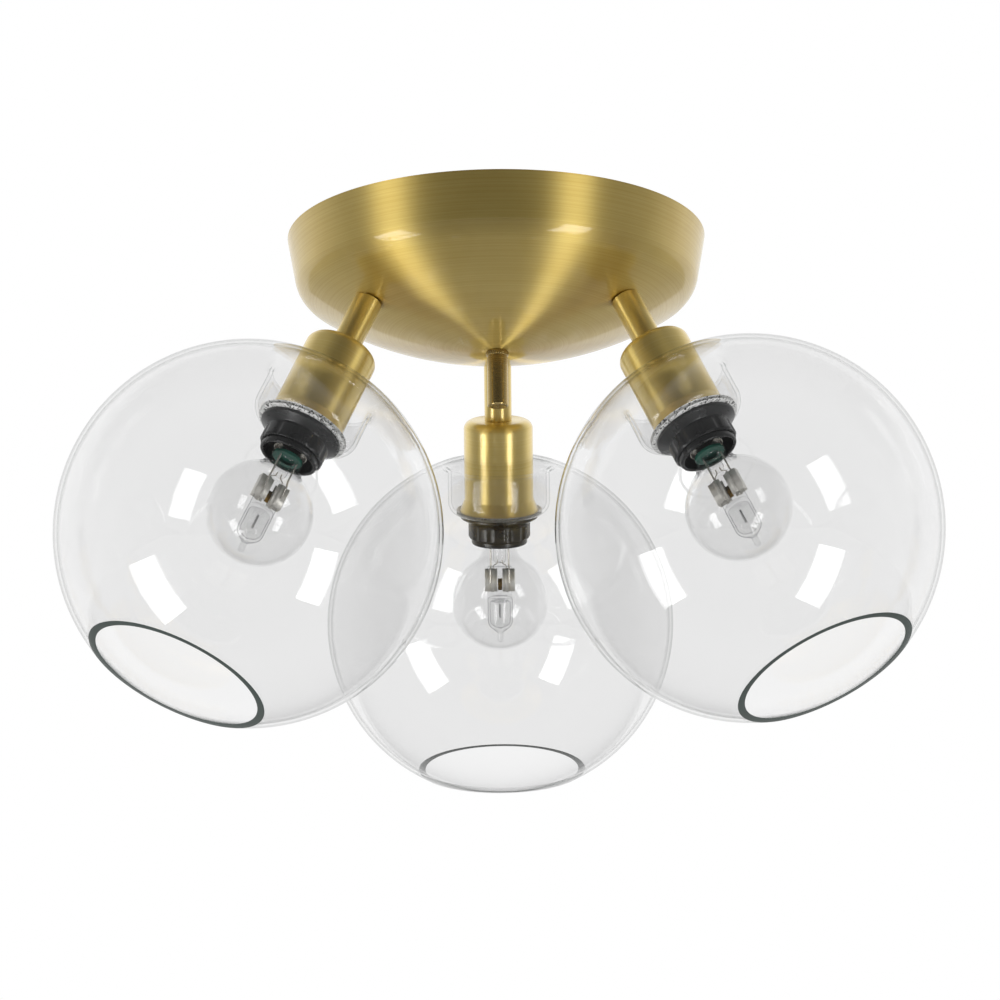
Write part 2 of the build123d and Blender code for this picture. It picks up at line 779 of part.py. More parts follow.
def make_earth_lead() -> Part:
    """Return the lead from the earth lug to the terminal block."""
    height = -bracket_thickness - lead_radius
    points = [
        Vector(-earth_place, -earth_lug_radius - rest_gap, height),
        Vector(-earth_place, -earth_lead_reach, height),
        Vector(earth_pole - block_pole_pitch, -earth_lead_bow, block_hole_z),
        Vector(earth_pole, -block_width / 2 + lead_block_depth, block_hole_z),
    ]
    return soft_tube(lead_radius, *points)


# ---------------------------------------------------------------- build and write
lamp_pieces = {
    "stem": make_stem,
    "nipple": make_nipple,
    "cup": make_cup,
    "holder_cap": make_holder_cap,
    "holder_skirt": make_holder_skirt,
    "socket_shell": make_socket_shell,
    "centre_contact": make_centre_contact,
    "globe": make_globe,
    "shade_ring": make_shade_ring,
    "bulb_glass": make_bulb_glass,
    "bulb_cap": make_bulb_cap,
    "bulb_base": make_bulb_base,
    "bulb_capsule": make_capsule,
    "bulb_frame": make_frame,
    "bulb_filament": make_filament,
}

nodes = {
    "canopy": make_canopy(),
    "ceiling_bracket": make_bracket(),
    "bracket_stud": make_stud(),
    "canopy_nut": make_thumb_nut(),
    "terminal_block": make_terminal_block(),
    "terminal_screws": make_terminal_screws(),
    "earth_terminal": make_earth_terminal(),
    "earth_lead": make_earth_lead(),
    "lock_nuts": [hang(make_lock_nut(), lamp) for lamp in lamp_azimuths],
    "lock_washers": [hang(make_lock_washer(), lamp) for lamp in lamp_azimuths],
}
for name, make in lamp_pieces.items():
    piece = make()
    for lamp in lamp_azimuths:
        turn = bulb_turns[lamp] if name.startswith("bulb") else 0.0
        nodes[f"{name}_{lamp}"] = hang(Rot(0, 0, turn) * piece, lamp)
for lamp in lamp_azimuths:
    nodes[f"leads_{lamp}"] = make_leads(lamp)

os.makedirs("parts", exist_ok=True)
for name, shape in nodes.items():
    pieces = shape if isinstance(shape, list) else [shape]
    solids = [solid for piece in pieces for solid in piece.solids()]
    export_step(solids[0] if len(solids) == 1 else Compound(solids), f"parts/{name}.step")
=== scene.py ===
"""Looks of a semi flush ceiling light: a satin brass bowl and three tilted lamps with glass globes and bulbs.

Sizes are in millimetres and become metres when a mesh is made. A turned piece is drawn upright as an outline
of (radius, station) corners, where a station is the distance down the lamp's axis from the ceiling plane. Its
Lamp then tilts it and swings it round to its own side of the bowl.
"""

import logging
from collections.abc import Callable, Sequence
from dataclasses import dataclass, field
from enum import Enum
from math import asin, atan2, ceil, cos, degrees, hypot, pi, radians, sin, sqrt, tan

import bpy
from mathutils import Euler, Matrix, Vector


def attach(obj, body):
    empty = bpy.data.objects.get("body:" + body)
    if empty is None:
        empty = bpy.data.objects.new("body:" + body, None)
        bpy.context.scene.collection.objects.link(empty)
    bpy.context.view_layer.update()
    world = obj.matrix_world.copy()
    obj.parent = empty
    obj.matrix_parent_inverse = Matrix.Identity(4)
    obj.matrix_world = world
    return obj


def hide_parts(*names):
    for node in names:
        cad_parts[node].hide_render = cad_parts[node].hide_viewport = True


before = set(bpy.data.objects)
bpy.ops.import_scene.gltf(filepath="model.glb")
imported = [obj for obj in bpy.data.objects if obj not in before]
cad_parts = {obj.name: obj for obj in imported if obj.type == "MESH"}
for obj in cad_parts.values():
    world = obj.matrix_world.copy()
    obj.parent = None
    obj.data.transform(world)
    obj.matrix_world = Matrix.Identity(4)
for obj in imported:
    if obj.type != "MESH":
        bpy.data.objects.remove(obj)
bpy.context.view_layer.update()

log = logging.getLogger("ceiling_light")

Corner = tuple[float, ...]
Point = tuple[float, float]
NodeTree = bpy.types.NodeTree
Object = bpy.types.Object
Socket = bpy.types.NodeSocket

MM = 0.001
LEAST_RING = 0.000001  # m, of the ring that an outline is swept round; the outline holds the real radius
JOIN_GAP = 0.000004  # m, under which corners become one
LAMP_TILT = 27.0
LAMP_OFFSET = 48.6


class Lamp(Enum):
    """One of the three lamps, by its number and by its direction round the bowl in degrees."""

    FRONT_LEFT = ("1", 210.0)
    FRONT_RIGHT = ("2", 330.0)
    BACK = ("3", 90.0)

    @property
    def number(self) -> str:
        """The number that ends the names of the lamp's pieces."""
        return self.value[0]

    @property
    def place(self) -> Matrix:
        """The turn and move that hang an upright piece on this lamp, in metres."""
        swing = Matrix.Rotation(radians(self.value[1]), 4, "Z")
        shift = Matrix.Translation((LAMP_OFFSET * MM, 0.0, 0.0))
        return swing @ shift @ Matrix.Rotation(radians(-LAMP_TILT), 4, "Y")

    def measure(self, spot: Vector) -> Point:
        """Return a point's radius and station about the lamp's axis, in millimetres."""
        upright = self.place.inverted() @ spot / MM
        return hypot(upright.x, upright.y), -upright.z


class Closing(Enum):
    """How an outline ends: in a loop, or at two points on the axis."""

    LOOP = "loop"
    ON_AXIS = "on_axis"


# ---------------------------------------------------------------- nodes and colours
def linear(code: str) -> tuple[float, float, float, float]:
    """Return an sRGB hex colour, such as "#c8a050", as opaque linear values."""
    parts = [int(code[i : i + 2], 16) / 255 for i in (1, 3, 5)]
    red, green, blue = (c / 12.92 if c <= 0.04045 else ((c + 0.055) / 1.055) ** 2.4 for c in parts)
    return red, green, blue, 1.0


def add(
    tree: NodeTree,
    kind: str,
    settings: dict[str, object] | None = None,
    inputs: dict[str | int, object] | None = None,
) -> bpy.types.Node:
    """Add a node with its settings and links, and return it.

    Args:
        tree: the node tree that it goes into.
        kind: Blender's name for the kind of node.
        settings: properties of the node and their values.
        inputs: sockets by name or number, each with a value or with the output that feeds it.
    """
    node = tree.nodes.new(kind)
    for name, value in (settings or {}).items():
        setattr(node, name, value)
    for key, value in (inputs or {}).items():
        if isinstance(value, Socket):
            tree.links.new(value, node.inputs[key])
        else:
            node.inputs[key].default_value = value
    return node


def reckon(tree: NodeTree, operation: str, *values: object, clamp: bool = False) -> Socket:
    """Return the output of one sum on numbers or outputs."""
    settings = {"operation": operation, "use_clamp": clamp}
    return add(tree, "ShaderNodeMath", settings, dict(enumerate(values))).outputs[0]


def noise(
    tree: NodeTree,
    where: Socket,
    scale: float,
    detail: float,
    roughness: float = 0.5,
    distortion: float = 0.0,
) -> Socket:
    """Return cloudy noise, with its scale in patches to the metre."""
    wanted = {"Vector": where, "Scale": scale, "Detail": detail, "Roughness": roughness, "Distortion": distortion}
    return add(tree, "ShaderNodeTexNoise", inputs=wanted).outputs["Fac"]


def spread(
    tree: NodeTree,
    value: Socket,
    low: float,
    high: float,
    start: float | Socket = 0.0,
    end: float | Socket = 1.0,
    smooth: bool = False,
) -> Socket:
    """Return a value stretched from one range to another, and held at the ends.

    Args:
        tree: the node tree.
        value: the value.
        low: what the start of the range becomes.
        high: what the end of the range becomes.
        start: the start of the range.
        end: the end of the range.
        smooth: whether it eases in and out.
    """
    settings = {"interpolation_type": "SMOOTHSTEP" if smooth else "LINEAR"}
    wanted = {"Value": value, "From Min": start, "From Max": end, "To Min": low, "To Max": high}
    return add(tree, "ShaderNodeMapRange", settings, wanted).outputs[0]


def mixed(tree: NodeTree, share: Socket, first: object, second: object) -> Socket:
    """Return a colour between two others, each a hex colour, linear values or an output."""
    low, high = (linear(end) if isinstance(end, str) else end for end in (first, second))
    return add(tree, "ShaderNodeMix", {"data_type": "RGBA"}, {"Factor": share, 6: low, 7: high}).outputs[2]


def relief(tree: NodeTree, height: Socket, strength: float, depth: float) -> Socket:
    """Return the normal of a face with a relief on it, whose depth is in millimetres."""
    wanted = {"Strength": strength, "Distance": depth * MM, "Height": height}
    return add(tree, "ShaderNodeBump", inputs=wanted).outputs[0]


def coated(
    tree: NodeTree, colour: Socket, roughness: float | Socket, normal: Socket, more: dict[str, object]
) -> Socket:
    """Return the principled shader of a surface, with more of its inputs by name."""
    wanted = {"Base Color": colour, "Roughness": roughness, "Normal": normal, **more}
    return add(tree, "ShaderNodeBsdfPrincipled", inputs=wanted).outputs[0]


# ---------------------------------------------------------------- finishes
@dataclass(frozen=True)
class Finish:
    """A finish that a material is made from, once for each lamp that wears it."""

    name: str

    def material(self, lamp: Lamp | None = None) -> bpy.types.Material:
        """Return the finish's material, made the first time it is asked for.

        Args:
            lamp: the lamp whose axis the pattern turns about, or None for the bowl's own axis.
        """
        label = self.name if lamp is None else f"{self.name}_{lamp.number}"
        made = bpy.data.materials.get(label)
        if made is None:
            made = bpy.data.materials.new(label)
            made.use_nodes = True
            made.node_tree.nodes.clear()
            place = Matrix.Identity(4) if lamp is None else lamp.place
            surface = self.surface(made.node_tree, self.upright(made.node_tree, place), place.to_euler())
            add(made.node_tree, "ShaderNodeOutputMaterial", inputs={"Surface": surface})
        return made

    def upright(self, tree: NodeTree, place: Matrix) -> Socket:
        """Return the piece's own coordinates with the lamp's axis stood upright, in metres."""
        here = add(tree, "ShaderNodeTexCoord")
        wanted = {"Vector": here.outputs["Object"], "Location": place.translation, "Rotation": place.to_euler()}
        return add(tree, "ShaderNodeMapping", {"vector_type": "TEXTURE"}, wanted).outputs["Vector"]

    def surface(self, tree: NodeTree, where: Socket, turn: Euler) -> Socket:
        """Return the output of the shader that the finish shows.

        Args:
            tree: the material's node tree.
            where: the upright coordinates.
            turn: the turn that tilts an upright direction back to the lamp's.
        """
        raise NotImplementedError


@dataclass(frozen=True)
class SpunBrass(Finish):
    """Brass that was spun or turned and left satin, under clear lacquer.

    The tool leaves fine rings round the axis, so a highlight draws out into a fan across them, and the lacquer
    lays a thin sharp sheen over it.
    """

    light: str
    dark: str
    roughness: tuple[float, float]
    anisotropy: float
    lacquer: float
    ring_pitch: float = 0.5  # mm; real tool marks are about 0.1 mm apart, too fine to show
    ring_depth: float = 0.002  # mm

    def surface(self, tree: NodeTree, where: Socket, turn: Euler) -> Socket:
        """Return the brass shader."""
        x, y, z = add(tree, "ShaderNodeSeparateXYZ", inputs={0: where}).outputs
        across = add(tree, "ShaderNodeCombineXYZ", inputs={"X": x, "Y": y})
        reach = add(tree, "ShaderNodeVectorMath", {"operation": "LENGTH"}, {0: across.outputs[0]})
        section = add(tree, "ShaderNodeCombineXYZ", inputs={"X": reach.outputs["Value"], "Y": z})
        wanted = {"Vector": section.outputs[0], "Scale": 1000 / self.ring_pitch, "Detail": 3.0, "Roughness": 0.65}
        rings = add(tree, "ShaderNodeTexNoise", {"noise_dimensions": "2D"}, wanted).outputs["Fac"]
        # Soft patches about 25 mm across, where the lacquer and the polish differ a little.
        patches = noise(tree, where, 40.0, 2.0)
        share = spread(tree, reckon(tree, "MULTIPLY_ADD", patches, 0.35, rings), 0.0, 1.0, 0.4, 0.95)
        smoothest, roughest = self.roughness
        # The marks run round the axis, so the sheen is drawn out square to them, a quarter turn away.
        others = {
            "Metallic": 1.0,
            "Anisotropic": self.anisotropy,
            "Anisotropic Rotation": 0.25,
            "Tangent": self.marks(tree, x, y, turn),
            "Coat Weight": self.lacquer,
            "Coat Roughness": 0.08,
        }
        normal = relief(tree, rings, 0.2, self.ring_depth)
        colour = mixed(tree, share, self.dark, self.light)
        return coated(tree, colour, spread(tree, share, roughest, smoothest), normal, others)

    def marks(self, tree: NodeTree, x: Socket, y: Socket, turn: Euler) -> Socket:
        """Return the direction of the tool's marks round the axis, as the shader wants it."""
        around = add(tree, "ShaderNodeCombineXYZ", inputs={"X": reckon(tree, "MULTIPLY", y, -1.0), "Y": x})
        wanted = {"Vector": around.outputs[0], "Rotation": turn}
        tilted = add(tree, "ShaderNodeMapping", {"vector_type": "VECTOR"}, wanted)
        settings = {"vector_type": "VECTOR", "convert_from": "OBJECT", "convert_to": "WORLD"}
        return add(tree, "ShaderNodeVectorTransform", settings, {0: tilted.outputs[0]}).outputs[0]


@dataclass(frozen=True)
class PlainMetal(Finish):
    """Bare metal sheet, wire or screw stock, bright or plated, with the faint cloud that handling leaves."""

    colour: str
    shade: str
    roughness: tuple[float, float]
    grain: float = 1.2  # mm
    shine: float = 1.0  # share that mirrors as metal; the rest is a matt bloom

    def surface(self, tree: NodeTree, where: Socket, turn: Euler) -> Socket:
        """Return the metal shader."""
        cloud = noise(tree, where, 1000 / self.grain, 3.0, 0.6)
        colour = mixed(tree, cloud, self.shade, self.colour)
        rough = spread(tree, cloud, *self.roughness)
        return coated(tree, colour, rough, relief(tree, cloud, 0.2, 0.01), {"Metallic": self.shine})


@dataclass(frozen=True)
class Moulding(Finish):
    """Moulded plastic or fused insulator, with the fine orange peel and slight mottle of the mould."""

    colour: str = "#101213"
    shade: str = "#0a0b0b"
    roughness: tuple[float, float] = (0.22, 0.34)
    peel: float = 0.7  # mm
    peel_depth: float = 0.01  # mm
    ior: float = 1.54

    def surface(self, tree: NodeTree, where: Socket, turn: Euler) -> Socket:
        """Return the plastic shader."""
        peel = noise(tree, where, 1000 / self.peel, 2.0)
        mottle = noise(tree, where, 120.0, 2.0)
        colour = mixed(tree, mottle, self.shade, self.colour)
        rough = spread(tree, mottle, *self.roughness)
        return coated(tree, colour, rough, relief(tree, peel, 0.5, self.peel_depth), {"IOR": self.ior})


@dataclass(frozen=True)
class ClearGlass(Finish):
    """Thin clear glass, which hardly bends what is behind it.

    Each face takes a little light, and is painted darker where it is seen edge on, a painted shade in place of
    the dark that real glass bends in from around it. It mirrors as glass does.
    """

    clear: str = "#fbfbfb"
    # painted shade: the colour the glass is darkened to where it is seen edge on
    edge: str = "#8d908e"
    edge_start: float = 0.78
    mirror: float = 0.03  # share sent back from a face seen square on
    waviness: float = 0.02  # mm, of blown glass

    def surface(self, tree: NodeTree, where: Socket, turn: Euler) -> Socket:
        """Return the glass shader."""
        wave = noise(tree, where, 28.0, 1.0)
        slant = add(tree, "ShaderNodeLayerWeight", inputs={"Blend": 0.5}).outputs["Facing"]
        # Painted shade: the colour through the glass darkens towards the edge colour where the face is seen edge
        # on.
        colour = mixed(tree, spread(tree, slant, 0.0, 1.0, self.edge_start, smooth=True), self.clear, self.edge)
        steep = reckon(tree, "POWER", slant, 5.0)
        share = reckon(tree, "MULTIPLY_ADD", steep, 1.0 - self.mirror, self.mirror, clamp=True)
        through = add(tree, "ShaderNodeBsdfTransparent", inputs={"Color": colour})
        shine = {"Color": linear("#ffffff"), "Roughness": 0.02, "Normal": relief(tree, wave, 1.0, self.waviness)}
        back = add(tree, "ShaderNodeBsdfAnisotropic", inputs=shine)
        layers = {0: share, 1: through.outputs[0], 2: back.outputs[0]}
        return add(tree, "ShaderNodeMixShader", inputs=layers).outputs[0]


@dataclass(frozen=True)
class ChippedGlass(Finish):
    """The cut and ground end of the globe's sleeve, with bright and dark specks painted where its chips would
    throw back glints and dark reflections.
    """

    bright: str = "#fcfcfa"
    dark: str = "#1c201e"
    chip: float = 1.6  # mm

    def surface(self, tree: NodeTree, where: Socket, turn: Euler) -> Socket:
        """Return the shader of the chipped glass."""
        chips = noise(tree, where, 1000 / self.chip, 2.0, distortion=1.5)
        # Painted glints and painted dark reflections: the specks are mixed into the base colour, not made by the
        # chips' shape.
        colour = mixed(tree, spread(tree, chips, 0.0, 1.0, 0.4, 0.46, smooth=True), self.dark, self.bright)
        return coated(tree, colour, 0.2, relief(tree, chips, 0.8, 0.1), {"IOR": 1.52})


# Warm satin gold: pale fans over the bowl where the marks catch the lights, and a stripe down a cup or stem.
SATIN_BRASS = SpunBrass(
    "satin_spun_brass", "#f2d984", "#e6c76c", roughness=(0.47, 0.52), anisotropy=1.0, lacquer=0.8
)
TURNED_BRASS = SpunBrass(
    "turned_brass", "#f0d88a", "#e6cb74", roughness=(0.36, 0.42), anisotropy=0.92, lacquer=0.8, ring_pitch=0.4
)
# A duller, browner gold that sets the nut off from the bowl.
NUT_BRASS = SpunBrass("nut_brass", "#cdb67a", "#a58c55", roughness=(0.2, 0.3), anisotropy=0.5, lacquer=0.2)
# Metal that shows little: cold grey steel over the ceiling, yellow contacts, and the bulbs' warm bright nickel.
CONTACT_BRASS = PlainMetal("pressed_contact_brass", "#dcc27a", "#b8974c", roughness=(0.2, 0.34))
ZINC_STEEL = PlainMetal("zinc_plated_steel", "#c3c6cb", "#9da1a6", roughness=(0.26, 0.42), grain=2.5)
NICKEL_CAP = PlainMetal("nickel_plated_cap", "#cfccc4", "#b4b0a6", roughness=(0.14, 0.26))
NICKEL_WIRE = PlainMetal("bright_nickel_wire", "#efece4", "#cfcbc1", (0.2, 0.3), grain=0.8, shine=0.7)
NICKEL_STRIP = PlainMetal("pressed_nickel_strip", "#f4f2ec", "#d6d3ca", (0.3, 0.42), grain=1.5, shine=0.5)
# A gold-brown patch between the clip's jaws, and the thin dark line of the filament.
OXIDISED_FOIL = PlainMetal("oxidised_foil", "#a8863c", "#5c431c", roughness=(0.3, 0.45), grain=1.0)
TUNGSTEN = PlainMetal("drawn_tungsten", "#6d6d70", "#4c4c50", roughness=(0.3, 0.5), grain=0.3)
# Deep black with soft lights for the holders and rings, and plain plastic for what is wired.
BLACK_PHENOLIC = Moulding("black_phenolic_moulding")
WHITE_POLYAMIDE = Moulding("white_polyamide", "#e8e8e2", "#dcdcd5", roughness=(0.4, 0.55), peel_depth=0.02)
BLACK_VITRITE = Moulding("black_fused_glass_insulator", "#17171c", "#0b0b0e", roughness=(0.08, 0.18), peel=2.5)
BROWN_PVC = Moulding("brown_lead_insulation", "#5a3420", "#4a2a19", roughness=(0.35, 0.5))
GREEN_PVC = Moulding("green_earth_insulation", "#4f9a2c", "#3f8422", roughness=(0.35, 0.5))
# Faint grey glass with sharp white lights, and painted shade where it is seen edge on: firm rims on the globes,
# dark outlines on the quartz. Painted glints and dark reflections as specks at the sleeve's end, a green-black
# line round each mouth, and a green disc in each holder with the cap's reflection painted dark on it.
GLOBE_GLASS = ClearGlass("clear_blown_glass")
CHIPPED_FOOT = ChippedGlass("chipped_sleeve_end")
GROUND_RIM = Moulding("ground_glass_rim", "#43504b", "#2f3a36", roughness=(0.25, 0.4), peel=0.5, ior=1.52)
BULB_GLASS = ClearGlass("thin_bulb_glass", clear="#fcfcfc", edge="#c6c8c8", edge_start=0.82, waviness=0.004)
QUARTZ = ClearGlass("fused_quartz", clear="#fbfbfb", edge="#5f6266", edge_start=0.55, waviness=0.05)
# Green mount glass, darkened with a painted reflection of the cap.
GREEN_MOUNT_PAINTED_REFLECTION = Moulding("green_mount_glass_painted_reflection", "#256a59", "#184c40", roughness=(0.05, 0.12), peel=3.0)


# ---------------------------------------------------------------- outlines
def arc(centre: Point, radius: float, start: float, end: float, steps: int) -> list[Point]:
    """Return points along an arc, with angles in degrees measured from outwards towards the floor."""
    angles = [radians(start + (end - start) * i / steps) for i in range(steps + 1)]
    return [(centre[0] + radius * cos(a), centre[1] + radius * sin(a)) for a in angles]


def rounded(corners: Sequence[Corner], steps: int = 6) -> list[Point]:
    """Return an outline's points, with an arc at each corner that gives a rounding as its third value."""
    points: list[Point] = []
    for i, corner in enumerate(corners):
        here = Vector(corner[:2])
        size = corner[2] if len(corner) > 2 else 0.0
        if size <= 0.0:
            points.append((here.x, here.y))
            continue
        before = (Vector(corners[i - 1][:2]) - here).normalized()
        after = (Vector(corners[(i + 1) % len(corners)][:2]) - here).normalized()
        half = before.angle(after) / 2
        middle = here + (before + after).normalized() * size / sin(half)
        first = here + before * size / tan(half) - middle
        last = here + after * size / tan(half) - middle
        for step in range(steps + 1):
            spoke = first.lerp(last, step / steps).normalized() * size
            points.append((middle.x + spoke.x, middle.y + spoke.y))
    return points


def divided(points: Sequence[Point], longest: float) -> list[Point]:
    """Return an outline with its long straight runs cut into steps."""
    out: list[Point] = []
    for (r0, s0), (r1, s1) in zip(points, points[1:]):
        parts = max(1, ceil(hypot(r1 - r0, s1 - s0) / longest))
        out += [(r0 + (r1 - r0) * i / parts, s0 + (s1 - s0) * i / parts) for i in range(parts)]
    return [*out, points[-1]]


# ---------------------------------------------------------------- geometry trees
@dataclass
class Tree:
    """A geometry node tree under construction, with its named inputs."""

    name: str
    sizes: tuple[str, ...]
    tree: NodeTree = field(init=False)
    given: bpy.types.bpy_prop_collection = field(init=False)

    def __post_init__(self) -> None:
        """Make the tree with its sockets."""
        self.tree = bpy.data.node_groups.new(self.name, "GeometryNodeTree")
        kinds = {"Form": "Geometry", "Segments": "Int", "Finish": "Material"}
        for name in ("Form", *self.sizes, "Finish"):
            kind = f"NodeSocket{kinds.get(name, 'Float')}"
            self.tree.interface.new_socket(name, in_out="INPUT", socket_type=kind)
        self.tree.interface.new_socket("Form", in_out="OUTPUT", socket_type="NodeSocketGeometry")
        self.given = add(self.tree, "NodeGroupInput").outputs

    def add(self, kind: str, settings: dict | None = None, inputs: dict | None = None) -> bpy.types.Node:
        """Add a node to the tree."""
        return add(self.tree, kind, settings, inputs)

    def math(self, operation: str, *values: object) -> Socket:
        """Return the output of one sum on numbers."""
        return reckon(self.tree, operation, *values)

    def ease(self, value: Socket, start: Socket, end: Socket) -> Socket:
        """Return a value's way from a start to an end, from 0 to 1 with soft ends."""
        return spread(self.tree, value, 0.0, 1.0, start, end, smooth=True)

    def smooth(self, form: Socket) -> Socket:
        """Return a form with every face shaded smooth."""
        wanted = {0: form, "Shade Smooth": True}
        return self.add("GeometryNodeSetShadeSmooth", {"domain": "FACE"}, wanted).outputs[0]

    def level(self, path: Socket) -> Socket:
        """Return a path whose sections keep upright."""
        return self.add("GeometryNodeSetCurveNormal", {"mode": "Z_UP"}, {0: path}).outputs[0]

    def swept(self, section: Socket, path: Socket, closed: bool = True) -> Socket:
        """Return a section swept along a path, with its ends closed or open."""
        wanted = {0: path, 1: section, "Fill Caps": closed}
        return self.add("GeometryNodeCurveToMesh", inputs=wanted).outputs[0]

    def wire(self, path: Socket, sides: int) -> Socket:
        """Return a wire of the tree's Radius along a path."""
        wanted = {"Resolution": sides, "Radius": self.given["Radius"]}
        return self.swept(self.add("GeometryNodeCurvePrimitiveCircle", inputs=wanted).outputs[0], path)

    def end(self, form: Socket) -> NodeTree:
        """Close the tree with real geometry in its finish, and return it."""
        real = self.add("GeometryNodeRealizeInstances", inputs={0: form})
        wanted = {0: real.outputs[0], "Material": self.given["Finish"]}
        dressed = self.add("GeometryNodeSetMaterial", inputs=wanted)
        self.add("NodeGroupOutput", inputs={0: dressed.outputs[0]})
        return self.tree


def turned_tree() -> NodeTree:
    """Return the tree that turns an outline about the upright axis."""
    t = Tree("turned_form", ("Segments", "Sharp Angle"))
    outline = t.add("GeometryNodeMeshToCurve", inputs={0: t.given["Form"]}).outputs[0]
    wanted = {"Resolution": t.given["Segments"], "Radius": LEAST_RING}
    ring = t.add("GeometryNodeCurvePrimitiveCircle", inputs=wanted).outputs[0]
    form = t.swept(outline, t.level(ring), closed=False)
    merged = t.add("GeometryNodeMergeByDistance", inputs={0: form, "Distance": JOIN_GAP}).outputs[0]
    bend = t.add("GeometryNodeInputMeshEdgeAngle").outputs[0]
    sharp = t.math("GREATER_THAN", bend, t.given["Sharp Angle"])
    creases = {0: t.smooth(merged), "Selection": sharp, "Shade Smooth": False}
    return t.end(t.add("GeometryNodeSetShadeSmooth", {"domain": "EDGE"}, creases).outputs[0])


def ridged_tree() -> NodeTree:
    """Return the tree that raises ridges on a turned form: grips, a slanted knurl, or a screw thread."""
    t = Tree("ridged_form", ("Count", "Height", "Share", "Twist", "From", "To", "Least Radius", "Run Out"))
    given = t.given
    here = t.add("GeometryNodeInputPosition")
    x, y, z = t.add("ShaderNodeSeparateXYZ", inputs={0: here.outputs[0]}).outputs
    station = t.math("MULTIPLY", z, -1.0)
    turn = t.math("DIVIDE", t.math("ARCTAN2", y, x), 2 * pi)
    wound = t.math("MULTIPLY_ADD", station, given["Twist"], t.math("MULTIPLY", turn, given["Count"]))
    off = t.math("ABSOLUTE", t.math("SUBTRACT", t.math("FRACT", wound), 0.5))
    half = t.math("MULTIPLY", given["Share"], 0.5)
    soft = t.math("MULTIPLY", half, 0.3)
    run_out = given["Run Out"]
    across = t.ease(off, t.math("ADD", half, soft), t.math("SUBTRACT", half, soft))
    starts = t.ease(station, given["From"], t.math("ADD", given["From"], run_out))
    stops = t.ease(station, given["To"], t.math("SUBTRACT", given["To"], run_out))
    reach = t.math("SQRT", t.math("ADD", t.math("MULTIPLY", x, x), t.math("MULTIPLY", y, y)))
    outside = t.math("GREATER_THAN", reach, given["Least Radius"])
    lift = t.math("MULTIPLY", t.math("MULTIPLY", across, t.math("MULTIPLY", starts, stops)), given["Height"])
    flat = t.add("ShaderNodeCombineXYZ", inputs={0: x, 1: y})
    outwards = t.add("ShaderNodeVectorMath", {"operation": "NORMALIZE"}, {0: flat.outputs[0]})
    offset = t.add("ShaderNodeVectorMath", {"operation": "SCALE"}, {0: outwards.outputs[0], "Scale": lift})
    moves = {0: given["Form"], "Selection": outside, "Offset": offset.outputs[0]}
    return t.end(t.add("GeometryNodeSetPosition", inputs=moves).outputs[0])


def bent_path(t: Tree) -> Socket:
    """Return the form's line as a path with rounded bends, for what is swept along it."""
    path = t.add("GeometryNodeMeshToCurve", inputs={0: t.given["Form"]}).outputs[0]
    wanted = {0: path, "Count": 4, "Radius": t.given["Bend"], "Limit Radius": True}
    return t.add("GeometryNodeFilletCurve", {"mode": "POLY"}, wanted).outputs[0]


def strip_tree() -> NodeTree:
    """Return the tree that presses a metal strip to the line of its section."""
    t = Tree("pressed_strip", ("Height", "Thickness", "Bend"))
    sides = {0: t.given["Thickness"], 1: t.given["Height"]}
    edge = t.add("GeometryNodeCurvePrimitiveQuadrilateral", inputs=sides).outputs[0]
    return t.end(t.swept(edge, t.level(bent_path(t))))


def wire_tree() -> NodeTree:
    """Return the tree that lays a round wire along a path, with its bends rounded."""
    t = Tree("round_wire", ("Radius", "Bend"))
    return t.end(t.smooth(t.wire(bent_path(t), 12)))


def coil_tree() -> NodeTree:
    """Return the tree that winds a wire into a coil down the upright axis from a point."""
    t = Tree("wound_coil", ("Turns", "Length", "Coil Radius", "Radius"))
    across = t.given["Coil Radius"]
    wanted = {"Rotations": t.given["Turns"], "Height": t.given["Length"], "Resolution": 14}
    coil = t.add("GeometryNodeCurveSpiral", inputs={**wanted, "Start Radius": across, "End Radius": across})
    wanted = {0: t.given["Form"], "Instance": t.wire(coil.outputs[0], 8)}
    return t.end(t.add("GeometryNodeInstanceOnPoints", inputs=wanted).outputs[0])


@dataclass(frozen=True)
class Ridges:
    """Ridges round a turned form, in millimetres: grips, a slanted knurl, or a screw thread."""

    count: float  # side by side round the axis
    height: float
    share: float  # of the way round that is ridge
    start: float  # stations
    end: float
    least_radius: float  # faces nearer the axis stay plain
    run_out: float
    twist: float = 0.0  # turns to the metre

    def inputs(self) -> dict[str, float]:
        """Return the inputs of the ridged tree, in metres."""
        lengths = {"height": self.height, "from": self.start, "to": self.end}
        lengths |= {"least_radius": self.least_radius, "run_out": self.run_out}
        scaled = {name: length * MM for name, length in lengths.items()}
        return scaled | {"count": self.count, "share": self.share, "twist": self.twist}


